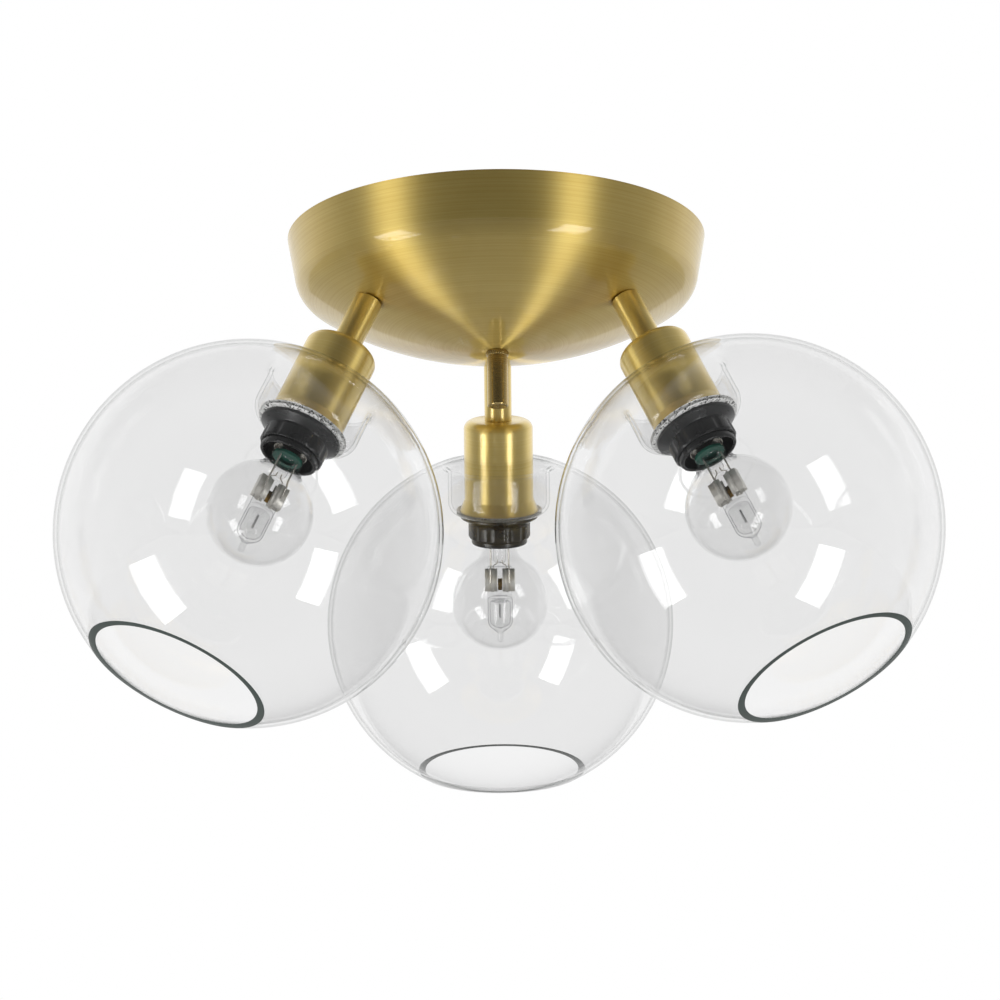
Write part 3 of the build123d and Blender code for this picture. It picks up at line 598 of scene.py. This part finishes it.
# ---------------------------------------------------------------- making pieces
@dataclass
class Workshop:
    """Makes meshes with the geometry trees and puts them in their place."""

    turned: NodeTree = field(default_factory=turned_tree)
    ridged: NodeTree = field(default_factory=ridged_tree)
    wire: NodeTree = field(default_factory=wire_tree)
    strip: NodeTree = field(default_factory=strip_tree)
    coil: NodeTree = field(default_factory=coil_tree)

    def blank(
        self, name: str, points: Sequence[Sequence[float]], closing: Closing = Closing.ON_AXIS
    ) -> Object:
        """Return a new object that holds a line of points given in millimetres."""
        mesh = bpy.data.meshes.new(name)
        edges = [(i, i + 1) for i in range(len(points) - 1)]
        if closing is Closing.LOOP:
            edges.append((len(points) - 1, 0))
        places = [tuple(c * MM for c in (*point, 0.0)[:3]) for point in points]
        mesh.from_pydata(places, edges, [])
        piece = bpy.data.objects.new(name, mesh)
        bpy.context.scene.collection.objects.link(piece)
        return piece

    def work(self, piece: Object, tree: NodeTree, **values: object) -> None:
        """Put a geometry tree on a piece and set its inputs.

        Args:
            piece: the piece.
            tree: one of the trees.
            values: the tree's inputs by name, with an underscore for a space.
        """
        step = piece.modifiers.new(tree.name, "NODES")
        step.node_group = tree
        sockets = {s.name: s.identifier for s in tree.interface.items_tree if s.in_out == "INPUT"}
        for name, value in values.items():
            step[sockets[name.replace("_", " ").title()]] = value

    def finish(self, piece: Object, lamp: Lamp | None = None, twist: float = 0.0) -> Object:
        """Turn a piece's modifiers into a plain mesh that faces outwards, and put it in its lamp's place.

        Args:
            piece: the piece.
            lamp: the lamp that it hangs on, or None for the middle of the bowl.
            twist: how far it is turned about the lamp's axis, in degrees.

        Returns:
            The piece.
        """
        shown = bpy.context.evaluated_depsgraph_get()
        mesh = bpy.data.meshes.new_from_object(piece.evaluated_get(shown), depsgraph=shown)
        piece.modifiers.clear()
        old = piece.data
        piece.data = mesh
        bpy.data.meshes.remove(old)
        mesh.name = piece.name
        mesh.calc_loop_triangles()
        spots = [v.co for v in mesh.vertices]
        corners = (face.vertices for face in mesh.loop_triangles)
        volume = sum(spots[a].dot(spots[b].cross(spots[c])) for a, b, c in corners)
        if volume < 0:
            mesh.flip_normals()
        if lamp is not None:
            mesh.transform(lamp.place @ Matrix.Rotation(radians(twist), 4, "Z"))
        return piece

    def turn(
        self,
        name: str,
        outline: Sequence[Point],
        finish: Finish,
        lamp: Lamp | None = None,
        segments: int = 128,
        sharp: float = 35.0,
        ridges: Ridges | None = None,
    ) -> Object:
        """Return a turned piece.

        Args:
            name: the piece's name.
            outline: points of its section, in a loop or from axis to axis.
            finish: its finish.
            lamp: the lamp that it hangs on, or None for the middle of the bowl.
            segments: faces round the axis.
            sharp: bends above this angle in degrees stay crisp.
            ridges: what is raised on it, or None for a plain piece.
        """
        on_axis = outline[0][0] < 0.001 and outline[-1][0] < 0.001
        piece = self.blank(name, outline, Closing.ON_AXIS if on_axis else Closing.LOOP)
        dress = finish.material(lamp)
        self.work(piece, self.turned, segments=segments, sharp_angle=radians(sharp), finish=dress)
        if ridges:
            self.work(piece, self.ridged, finish=dress, **ridges.inputs())
        return self.finish(piece, lamp)


def settle(piece: Object, body: str, slot: str, *nodes: str) -> None:
    """Let a piece ride on its body and stand for its CAD nodes."""
    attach(piece, body)
    if nodes:
        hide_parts(*nodes)
    log.info("%s rides on %s: %d faces", piece.name, body, len(piece.data.polygons))


def dress_nodes(finish: Finish, *names: str, lamp: Lamp | None = None) -> None:
    """Give CAD nodes that stay as they are their finish."""
    for name in names:
        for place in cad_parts[name].material_slots:
            place.material = finish.material(lamp)
        log.info("%s keeps its own shape, in %s", name, finish.name)


# ---------------------------------------------------------------- the light
@dataclass
class Bowl:
    """The spun bowl, its thumb nut, and what holds and feeds them inside."""

    shop: Workshop
    radius: float = 100.0
    depth: float = 55.2
    dome: float = 170.6
    bend: float = 14.5
    taper: float = 10.4
    wall: float = 1.0
    hole: float = 3.1
    rest_gap: float = 0.05
    nut_radius: float = 5.0
    nut_length: float = 27.4
    nut_bore: float = 3.05
    nut_bore_depth: float = 14.0
    groove_radius: float = 4.7  # under the nut's collar
    collar_radius: float = 5.05
    collar_height: float = 2.5

    def face(self, inset: float) -> list[Point]:
        """Return one face of the bowl from the rim to the centre hole."""
        lean = radians(self.taper)
        centre = self.depth - self.dome
        # The bend's centre lies its radius inside both the wall and the dome.
        a = 1 + tan(lean) ** 2
        start = self.radius - self.bend / cos(lean)
        b = -2 * (start * tan(lean) + centre)
        c = start**2 + centre**2 - (self.dome - self.bend) ** 2
        low = (-b + sqrt(b**2 - 4 * a * c)) / (2 * a)
        out = start - low * tan(lean)
        towards = degrees(asin((low - centre) / (self.dome - self.bend)))
        dome = self.dome - inset
        return [
            (self.radius - inset / cos(lean), 0.0),
            *arc((out, low), self.bend - inset, self.taper, towards, 14),
            *arc((0.0, centre), dome, towards, 90 - degrees(asin(self.hole / dome)), 48)[1:],
        ]

    def build(self) -> None:
        """Make the bowl's pieces."""
        outline = self.face(0.0) + self.face(self.wall)[::-1]
        shell = self.shop.turn("spun_bowl", divided(outline, 8.0), SATIN_BRASS, segments=256, sharp=50.0)
        settle(shell, "fixture", "brass", "canopy")
        self.build_nut()
        dress_nodes(ZINC_STEEL, "ceiling_bracket", "bracket_stud", "lock_washers", "lock_nuts")
        dress_nodes(CONTACT_BRASS, "terminal_screws", "earth_terminal")
        dress_nodes(WHITE_POLYAMIDE, "terminal_block")
        dress_nodes(GREEN_PVC, "earth_lead")

    def build_nut(self) -> None:
        """Make the long thumb nut with its slanted knurl."""
        top = self.depth + self.rest_gap
        bottom = top + self.nut_length
        collar_end = top + self.collar_height
        corners = [
            (self.nut_bore, top),
            (self.collar_radius, top, 0.2),
            (self.collar_radius, collar_end, 0.2),
            (self.groove_radius, collar_end + 0.2),
            (self.groove_radius, collar_end + 0.6),
            (self.nut_radius, collar_end + 0.8),
            (self.nut_radius, bottom, 0.9),
            (0.0, bottom),
        ]
        outline = rounded(corners, steps=4)
        # Closed on the axis: the end face and the blind bore share their middle.
        outline += [(0.0, top + self.nut_bore_depth), (self.nut_bore, top + self.nut_bore_depth)]
        knurl = Ridges(
            count=28.0,
            height=0.38,
            share=0.55,
            start=top + 0.15,
            end=collar_end - 0.1,
            least_radius=self.groove_radius - 0.1,
            run_out=0.2,
            twist=420.0,
        )
        outline = divided(outline, 0.35)
        nut = self.shop.turn("thumb_nut", outline, NUT_BRASS, segments=280, sharp=40.0, ridges=knurl)
        settle(nut, "thumb_nut", "brass", "canopy_nut")


@dataclass
class Hung:
    """What the parts of one lamp share: the workshop, the lamp, and its number in their names."""

    shop: Workshop
    lamp: Lamp

    def numbered(self, name: str) -> str:
        """Return a name with the lamp's number."""
        return f"{name}_{self.lamp.number}"

    def turn(
        self,
        name: str,
        outline: Sequence[Point],
        finish: Finish,
        stands_for: tuple[str, str, str],
        segments: int,
        ridges: Ridges | None = None,
    ) -> Object:
        """Return a turned piece of this lamp, settled on its body.

        Args:
            name: the piece's name without its number.
            outline: points of its section, in a loop or from axis to axis.
            finish: its finish.
            stands_for: its body, its slot and its CAD node. The body "fixture" has no number.
            segments: faces round the axis.
            ridges: what is raised on it, or None for a plain piece.
        """
        body, slot, node = stands_for
        piece = self.shop.turn(self.numbered(name), outline, finish, self.lamp, segments, ridges=ridges)
        settle(piece, body if body == "fixture" else self.numbered(body), slot, self.numbered(node))
        return piece

    def dress(self, finish: Finish, *names: str) -> None:
        """Give some of this lamp's CAD nodes their finish."""
        dress_nodes(finish, *map(self.numbered, names), lamp=self.lamp)

    def mark_faces(self, piece: Object, index: int, finish: Finish, area: Callable[..., bool]) -> None:
        """Give some faces a finish of their own, chosen by their radius and station."""
        piece.data.materials.append(finish.material(self.lamp))
        for face in piece.data.polygons:
            if area(*self.lamp.measure(face.center)):
                face.material_index = index


@dataclass
class Arm(Hung):
    """The brass stem and cup of one lamp, and its lampholder."""

    stem_top: float = 45.75
    stem_radius: float = 6.8
    stem_bore: float = 5.2
    cup_top: float = 73.75
    cup_bottom: float = 120.25
    cup_radius: float = 17.3
    cup_hole: float = 5.1
    cup_wall: float = 1.0
    lip_radius: float = 19.6
    lip_height: float = 6.5
    holder_top: float = 84.25
    holder_bottom: float = 137.05
    holder_radius: float = 14.0
    holder_bore: float = 12.2
    thread_root: float = 13.4
    thread_top: float = 96.0
    thread_end: float = 134.0
    socket_radius: float = 7.35
    socket_mouth: float = 129.05
    floor_top: float = 106.05
    floor_thickness: float = 4.0
    contact_hole: float = 2.25

    def build(self) -> None:
        """Make the arm's pieces."""
        self.build_stem()
        self.build_cup()
        self.build_holder()

    def build_stem(self) -> None:
        """Make the spacer tube, with its ends broken by a fine chamfer."""
        corners = [
            (self.stem_bore, self.stem_top),
            (self.stem_radius, self.stem_top, 0.25),
            (self.stem_radius, self.cup_top, 0.25),
            (self.stem_bore, self.cup_top),
        ]
        outline = rounded(corners, steps=3)
        self.turn("stem_tube", divided(outline, 4.0), TURNED_BRASS, ("fixture", "brass", "stem"), 96)

    def build_cup(self) -> None:
        """Make the cup with its rounded shoulder and flared, rolled lip."""
        lip_start = self.cup_bottom - self.lip_height
        inner = self.cup_radius - self.cup_wall
        corners = [
            (self.cup_hole, self.cup_top),
            (self.cup_radius, self.cup_top, 4.5),
            (self.cup_radius, lip_start, 3.0),
            (self.lip_radius, self.cup_bottom - 0.5, 0.3),
            (self.lip_radius, self.cup_bottom, 0.2),
            (self.lip_radius - self.cup_wall, self.cup_bottom),
            (inner, lip_start, 3.0),
            (inner, self.cup_top + self.cup_wall, 3.5),
            (self.cup_hole, self.cup_top + self.cup_wall),
        ]
        outline = rounded(corners, steps=10)
        self.turn("lamp_cup", divided(outline, 4.0), TURNED_BRASS, ("fixture", "brass", "cup"), 160)

    def build_holder(self) -> None:
        """Make the lampholder's skirt with its screw thread, and dress the pieces inside it."""
        floor_bottom = self.floor_top + self.floor_thickness
        corners = [
            (self.thread_root, self.holder_top),
            (self.thread_root, self.thread_end, 0.2),
            (self.holder_radius, self.thread_end + 0.4, 0.2),
            (self.holder_radius, self.holder_bottom, 1.0),
            (self.holder_bore, self.holder_bottom, 0.8),
            (self.holder_bore, self.socket_mouth, 0.6),
            (self.socket_radius, self.socket_mouth),
            (self.socket_radius, floor_bottom),
            (self.contact_hole, floor_bottom),
            (self.contact_hole, self.floor_top),
            (self.holder_bore, self.floor_top),
            (self.holder_bore, self.holder_top),
        ]
        outline = rounded(corners, steps=5)
        thread = Ridges(
            count=1.0,
            height=0.58,
            share=0.55,
            start=self.thread_top,
            end=self.thread_end + 0.2,
            least_radius=self.thread_root - 0.2,
            run_out=1.5,
            twist=500.0,
        )
        stands_for = ("fixture", "black_plastic", "holder_skirt")
        self.turn("holder_barrel", divided(outline, 0.25), BLACK_PHENOLIC, stands_for, 72, thread)
        self.dress(BLACK_PHENOLIC, "holder_cap")
        self.dress(CONTACT_BRASS, "socket_shell", "centre_contact")
        self.dress(ZINC_STEEL, "nipple")
        self.dress(BROWN_PVC, "leads")


@dataclass
class Shade(Hung):
    """The blown glass globe of one lamp and the black ring that clamps it."""

    radius: float = 87.5
    wall: float = 1.6
    mouth_height: float = 76.5
    well_radius: float = 24.0
    well_mouth: float = 4.6
    well_foot: float = 5.0
    flange_top: float = 120.3
    centre: float = 178.9
    hole: float = 14.6
    foot_radius: float = 21.6  # out to which the sleeve's end is chipped
    ring_top: float = 121.95
    ring_bore: float = 14.08
    flange_radius: float = 19.4
    flange_edge: float = 1.5
    flange_height: float = 4.1
    band_radius: float = 15.0
    band_height: float = 8.0
    grips: float = 11.0

    def face(self, inset: float) -> list[Point]:
        """Return one face of the glass, from the mouth over the top and down into the sleeve."""
        lip_r = self.well_radius + self.well_mouth
        drop = sqrt((self.radius - self.well_mouth) ** 2 - lip_r**2)
        lean = -degrees(atan2(drop, lip_r))
        radius = self.radius - inset
        foot_r = self.well_radius - self.well_foot
        foot = self.well_foot + inset
        return [
            *arc((0.0, self.centre), radius, degrees(asin(self.mouth_height / radius)), lean, 84),
            *arc((lip_r, self.centre - drop), self.well_mouth - inset, lean, -180.0, 12)[1:],
            *arc((foot_r, self.flange_top - self.well_foot), foot, 0.0, 90.0, 12),
            (self.hole, self.flange_top - self.well_foot + foot),
        ]

    def build(self) -> None:
        """Make the globe, with its mouth and the end of its sleeve ground, and its ring."""
        outline = self.face(0.0) + self.face(self.wall)[::-1]
        stands_for = ("shade", "clear_glass", "globe")
        globe = self.turn("glass_globe", divided(outline, 5.0), GLOBE_GLASS, stands_for, 192)
        mouth = self.centre + self.mouth_height - 0.05
        foot = self.flange_top - self.wall - 0.4

        def chipped(radius: float, station: float) -> bool:
            """Return whether a face lies on the end of the sleeve."""
            return radius < self.foot_radius and foot < station < mouth

        self.mark_faces(globe, 1, GROUND_RIM, lambda radius, station: station > mouth)
        self.mark_faces(globe, 2, CHIPPED_FOOT, chipped)
        self.build_ring()

    def build_ring(self) -> None:
        """Make the shade ring with the grips round its band."""
        band_top = self.ring_top + self.flange_height
        bottom = band_top + self.band_height
        corners = [
            (self.ring_bore, self.ring_top),
            (self.flange_radius, self.ring_top, 0.4),
            (self.flange_radius, self.ring_top + self.flange_edge, 0.4),
            (self.band_radius, band_top, 1.0),
            (self.band_radius, bottom, 0.5),
            (self.ring_bore, bottom),
        ]
        outline = rounded(corners, steps=5)
        grips = Ridges(
            count=self.grips,
            height=0.5,
            share=0.72,
            start=band_top + 0.5,
            end=bottom - 0.5,
            least_radius=self.band_radius - 0.4,
            run_out=0.35,
        )
        stands_for = ("ring", "black_plastic", "shade_ring")
        self.turn("grip_ring", divided(outline, 0.3), BLACK_PHENOLIC, stands_for, 264, grips)


@dataclass
class Bulb(Hung):
    """A clear golf-ball bulb with a halogen capsule inside."""

    radius: float = 24.2
    glass: float = 0.8
    centre: float = 167.5
    neck_radius: float = 7.75
    neck_curve: float = 14.0
    neck_overlap: float = 2.0  # of the glass inside the cap
    cap_top: float = 115.4
    cap_rim: float = 134.0
    cap_wall: float = 0.4
    thread_root: float = 6.4
    thread_bottom: float = 129.5
    thread_pitch: float = 2.82
    skirt_radius: float = 8.2
    flare_drop: float = 2.6  # of the mount's flare below the cap's rim
    flare_height: float = 1.4
    flare_radius: float = 7.3
    mount_radius: float = 3.2
    mount_length: float = 9.0
    capsule_top: float = 165.2
    capsule_length: float = 14.3
    filament_turns: float = 12.0
    filament_length: float = 7.0
    filament_radius: float = 0.45
    filament_wire: float = 0.13
    # One half of a jaw's section, and the paths of a post and a feed on one side of the bulb.
    jaw: tuple[Point, ...] = ((1.3, 1.8), (2.9, 1.8), (2.9, 2.7), (4.3, 2.7), (4.3, 1.8), (7.4, 1.8))
    post: tuple[Corner, ...] = ((4.5, 2.25, -137.0), (4.5, 2.25, -148.0), (4.8, 3.0, -150.5), (4.8, 3.0, -157.0))
    feed: tuple[Corner, ...] = ((1.1, 0.0, -145.5), (1.3, 0.0, -147.6), (3.2, 0.0, -148.6), (3.2, 0.0, -150.5))
    jaw_drop: float = 9.0  # from the middle of the jaws to the capsule
    jaw_height: float = 11.0
    jaw_sheet: float = 0.35
    foil_height: float = 6.0
    foil_sheet: float = 0.2
    post_wire: float = 0.45
    feed_wire: float = 0.3

    @property
    def twist(self) -> float:
        """How far round the bulb stopped when it was screwed in, in degrees."""
        return 90.0 if self.lamp is Lamp.BACK else 0.0

    def face(self, inset: float) -> list[Point]:
        """Return one face of the bulb's glass, from its neck to the lowest point."""
        curve_r = self.neck_radius + self.neck_curve
        rise = sqrt((self.radius + self.neck_curve) ** 2 - curve_r**2)
        lean = degrees(atan2(rise, curve_r))
        return [
            (self.neck_radius - inset, self.cap_rim - self.neck_overlap),
            *arc((curve_r, self.centre - rise), self.neck_curve + inset, 180.0, 180.0 - lean, 12),
            *arc((0.0, self.centre), self.radius - inset, -lean, 90.0, 48)[1:-1],
            (0.0, self.centre + self.radius - inset),
        ]

    def build(self) -> None:
        """Make the bulb's pieces."""
        # Drawn from pole to pole so that the section closes on the axis.
        section = self.face(0.0)[::-1] + self.face(self.glass)
        stands_for = ("bulb", "bulb_glass", "bulb_glass")
        self.turn("bulb_envelope", divided(section, 4.0), BULB_GLASS, stands_for, 128)
        self.build_mount()
        self.build_clip()
        self.build_cap()
        self.build_filament()
        self.dress(QUARTZ, "bulb_capsule")
        self.dress(BLACK_VITRITE, "bulb_base")

    def build_mount(self) -> None:
        """Make the glass mount that closes the neck, green, with a painted dark reflection of the cap on its
        flare.
        """
        top = self.cap_rim + self.flare_drop
        foot = top + self.flare_height
        end = foot + self.mount_length
        corners = [
            (0.0, top),
            (self.flare_radius, top),
            (self.flare_radius, foot, 0.4),
            (self.mount_radius, foot, 1.5),
            (self.mount_radius, end, 1.5),
            (0.0, end),
        ]
        stands_for = ("bulb", "bulb_glass", "bulb_glass")
        mount = self.turn("glass_mount", divided(rounded(corners, steps=6), 2.0), QUARTZ, stands_for, 64)
        # The flare's top faces take the green glass with the cap's reflection painted dark into it.
        self.mark_faces(mount, 1, GREEN_MOUNT_PAINTED_REFLECTION, lambda radius, station: station < foot + 0.05)

    def build_cap(self) -> None:
        """Make the screw cap with its rolled thread."""
        inner_root = self.thread_root - self.cap_wall
        inner_skirt = self.skirt_radius - self.cap_wall
        shoulder = self.thread_bottom + 0.6
        skirt_top = self.thread_bottom + 2.2
        corners = [
            (inner_root, self.cap_top),
            (self.thread_root, self.cap_top, 0.15),
            (self.thread_root, shoulder, 0.4),
            (self.skirt_radius, skirt_top, 0.8),
            (self.skirt_radius, self.cap_rim),
            (inner_skirt, self.cap_rim),
            (inner_skirt, skirt_top, 0.4),
            (inner_root, shoulder),
        ]
        outline = rounded(corners, steps=5)
        thread = Ridges(
            count=1.0,
            height=0.5,
            share=0.62,
            start=self.cap_top,
            end=self.thread_bottom + 0.4,
            least_radius=inner_root - 0.2,
            run_out=1.2,
            twist=1000 / self.thread_pitch,
        )
        stands_for = ("bulb", "nickel_cap", "bulb_cap")
        self.turn("screw_cap", divided(outline, 0.25), NICKEL_CAP, stands_for, 64, thread)

    def build_filament(self) -> None:
        """Wind the filament in the middle of the capsule."""
        middle = self.capsule_top + self.capsule_length / 2
        coil = self.shop.blank(self.numbered("filament_coil"), [(0.0, 0.0)])
        coil.data.transform(Matrix.Translation((0.0, 0.0, -(middle + self.filament_length / 2) * MM)))
        self.shop.work(
            coil,
            self.shop.coil,
            turns=self.filament_turns,
            length=self.filament_length * MM,
            coil_radius=self.filament_radius * MM,
            radius=self.filament_wire * MM,
            finish=TUNGSTEN.material(self.lamp),
        )
        self.shop.finish(coil, self.lamp)
        settle(coil, self.numbered("bulb"), "tungsten", self.numbered("bulb_filament"))

    def build_clip(self) -> None:
        """Make the two ribbed jaws that hold the capsule, the foil between them, and their wires."""
        middle = self.capsule_top - self.jaw_drop
        other_half = [(x, -y) for x, y in reversed(self.jaw)]
        for side, name in ((-1, "left"), (1, "right")):
            line = [(side * x, y, -middle) for x, y in (*self.jaw, *other_half)]
            self.press(f"clip_{name}", line, self.jaw_height, self.jaw_sheet, NICKEL_STRIP)
            self.draw(f"post_{name}", [(side * x, y, z) for x, y, z in self.post], self.post_wire)
            self.draw(f"feed_{name}", [(side * x, y, z) for x, y, z in self.feed], self.feed_wire)
        foil = [(-1.15, 0.0, -middle - 2.2), (1.0, 0.0, -middle - 2.2)]
        self.press("foil", foil, self.foil_height, self.foil_sheet, OXIDISED_FOIL)

    def press(self, name: str, line: list[Corner], height: float, sheet: float, finish: Finish) -> None:
        """Press one strip of the clip to a line."""
        sizes = {"height": height * MM, "thickness": sheet * MM, "bend": 0.25 * MM}
        self.shape(name, line, self.shop.strip, sizes, finish)

    def draw(self, name: str, path: list[Corner], radius: float) -> None:
        """Draw one wire of the frame along a path."""
        self.shape(name, path, self.shop.wire, {"radius": radius * MM, "bend": 0.8 * MM}, NICKEL_WIRE)

    def shape(
        self, name: str, line: list[Corner], tree: NodeTree, sizes: dict[str, float], finish: Finish
    ) -> None:
        """Make a piece of the frame from a line with a geometry tree, and settle it."""
        piece = self.shop.blank(self.numbered(name), line)
        self.shop.work(piece, tree, finish=finish.material(self.lamp), **sizes)
        self.shop.finish(piece, self.lamp, self.twist)
        settle(piece, self.numbered("bulb"), "nickel_wire", self.numbered("bulb_frame"))


# ---------------------------------------------------------------- studio
@dataclass(frozen=True)
class Softbox:
    """A rectangular studio light, in metres."""

    name: str
    place: tuple[float, float, float]
    aim: tuple[float, float, float]
    width: float
    height: float
    radiance: float

    def build(self) -> None:
        """Hang the light and point it."""
        data = bpy.data.lights.new(self.name, "AREA")
        data.shape = "RECTANGLE"
        data.size, data.size_y = self.width, self.height
        data.energy = self.radiance * pi * self.width * self.height
        light = bpy.data.objects.new(self.name, data)
        bpy.context.scene.collection.objects.link(light)
        light.location = self.place
        light.rotation_euler = (Vector(self.aim) - Vector(self.place)).to_track_quat("-Z", "Y").to_euler()
        light.visible_camera = False


@dataclass
class Studio:
    """The floor, the lights, the white surroundings and the camera."""

    floor_drop: float = 2.4  # from the ceiling, in metres
    floor_reach: float = 9.0  # each way, in metres
    ambient: float = 0.45
    front_greys: tuple[float, float] = (0.08, 0.40)  # mirrored from in front, straight ahead to sideways
    softboxes: tuple[Softbox, ...] = (
        Softbox("left_softbox", (-1.22, -0.60, -1.01), (0.0, 0.0, -0.16), 0.50, 0.85, 6.4),
        Softbox("right_softbox", (0.99, -0.90, -1.04), (0.0, 0.0, -0.16), 0.44, 0.85, 6.4),
    )
    eye: tuple[float, float, float] = (0.00046, -1.5006, -0.5163)
    pitch: float = 14.38
    roll: float = 0.0109
    lens: float = 118.53
    shift: float = 0.0066

    def build(self) -> None:
        """Set up the studio."""
        scene = bpy.context.scene
        scene.view_settings.view_transform = "Standard"
        scene.cycles.transparent_max_bounces = 40
        self.build_floor()
        for softbox in self.softboxes:
            softbox.build()
        self.build_surroundings()
        self.build_camera()

    def build_floor(self) -> None:
        """Lay a plain pale floor far below the light."""
        mesh = bpy.data.meshes.new("floor")
        reach = self.floor_reach
        corners = [(x * reach, y * reach, -self.floor_drop) for x, y in ((-1, -1), (1, -1), (1, 1), (-1, 1))]
        mesh.from_pydata(corners, [], [(0, 1, 2, 3)])
        floor = bpy.data.objects.new("floor", mesh)
        bpy.context.scene.collection.objects.link(floor)
        paint = Moulding("pale_floor_paint", "#f4f4f4", "#efefef", roughness=(0.7, 0.8), peel=40.0)
        mesh.materials.append(paint.material())

    def build_surroundings(self) -> None:
        """Surround the light with a white backdrop, a dim room in front, and soft light from all sides."""
        world = bpy.data.worlds.new("studio")
        bpy.context.scene.world = world
        world.use_nodes = True
        tree = world.node_tree
        tree.nodes.clear()
        path = add(tree, "ShaderNodeLightPath").outputs
        way = add(tree, "ShaderNodeTexCoord").outputs["Generated"]
        depth = add(tree, "ShaderNodeSeparateXYZ", inputs={0: way}).outputs["Y"]
        room = add(tree, "ShaderNodeValToRGB", inputs={0: depth})
        ramp = room.color_ramp
        ramp.elements[0].position, ramp.elements[0].color = 0.0, (0.42, 0.42, 0.42, 1.0)
        ramp.elements[1].position, ramp.elements[1].color = 0.55, (1.0, 1.0, 1.0, 1.0)
        front = spread(tree, depth, *self.front_greys, -0.98, -0.1, smooth=True)
        seen = mixed(tree, reckon(tree, "GREATER_THAN", depth, 0.0), front, room.outputs[0])
        mirrored = reckon(tree, "MAXIMUM", path["Is Glossy Ray"], path["Is Transmission Ray"])
        lit = mixed(tree, mirrored, (self.ambient, self.ambient, self.ambient, 1.0), seen)
        shown = mixed(tree, path["Is Camera Ray"], lit, "#ffffff")
        glow = add(tree, "ShaderNodeBackground", inputs={"Color": shown, "Strength": 1.0})
        add(tree, "ShaderNodeOutputWorld", inputs={"Surface": glow.outputs[0]})

    def build_camera(self) -> None:
        """Set the camera below and in front of the light, looking up at it."""
        data = bpy.data.cameras.new("camera")
        data.sensor_width, data.lens, data.shift_y = 36.0, self.lens, self.shift
        data.clip_start, data.clip_end = 0.05, 50.0
        camera = bpy.data.objects.new("camera", data)
        bpy.context.scene.collection.objects.link(camera)
        pitch = radians(self.pitch)
        ahead = Vector((0.0, cos(pitch), sin(pitch)))
        level_up = Vector((0.0, -sin(pitch), cos(pitch)))
        level_right = Vector((1.0, 0.0, 0.0))
        right = level_right * cos(self.roll) - level_up * sin(self.roll)
        up = level_right * sin(self.roll) + level_up * cos(self.roll)
        turn = Matrix((right, up, -ahead)).transposed()
        camera.matrix_world = Matrix.Translation(self.eye) @ turn.to_4x4()
        bpy.context.scene.camera = camera


def main() -> None:
    """Build the light and its studio in order."""
    logging.basicConfig(level=logging.INFO, format="%(message)s")
    shop = Workshop()
    Bowl(shop).build()
    for lamp in Lamp:
        Arm(shop, lamp).build()
        Shade(shop, lamp).build()
        Bulb(shop, lamp).build()
    Studio().build()


if __name__ == "__main__":
    main()
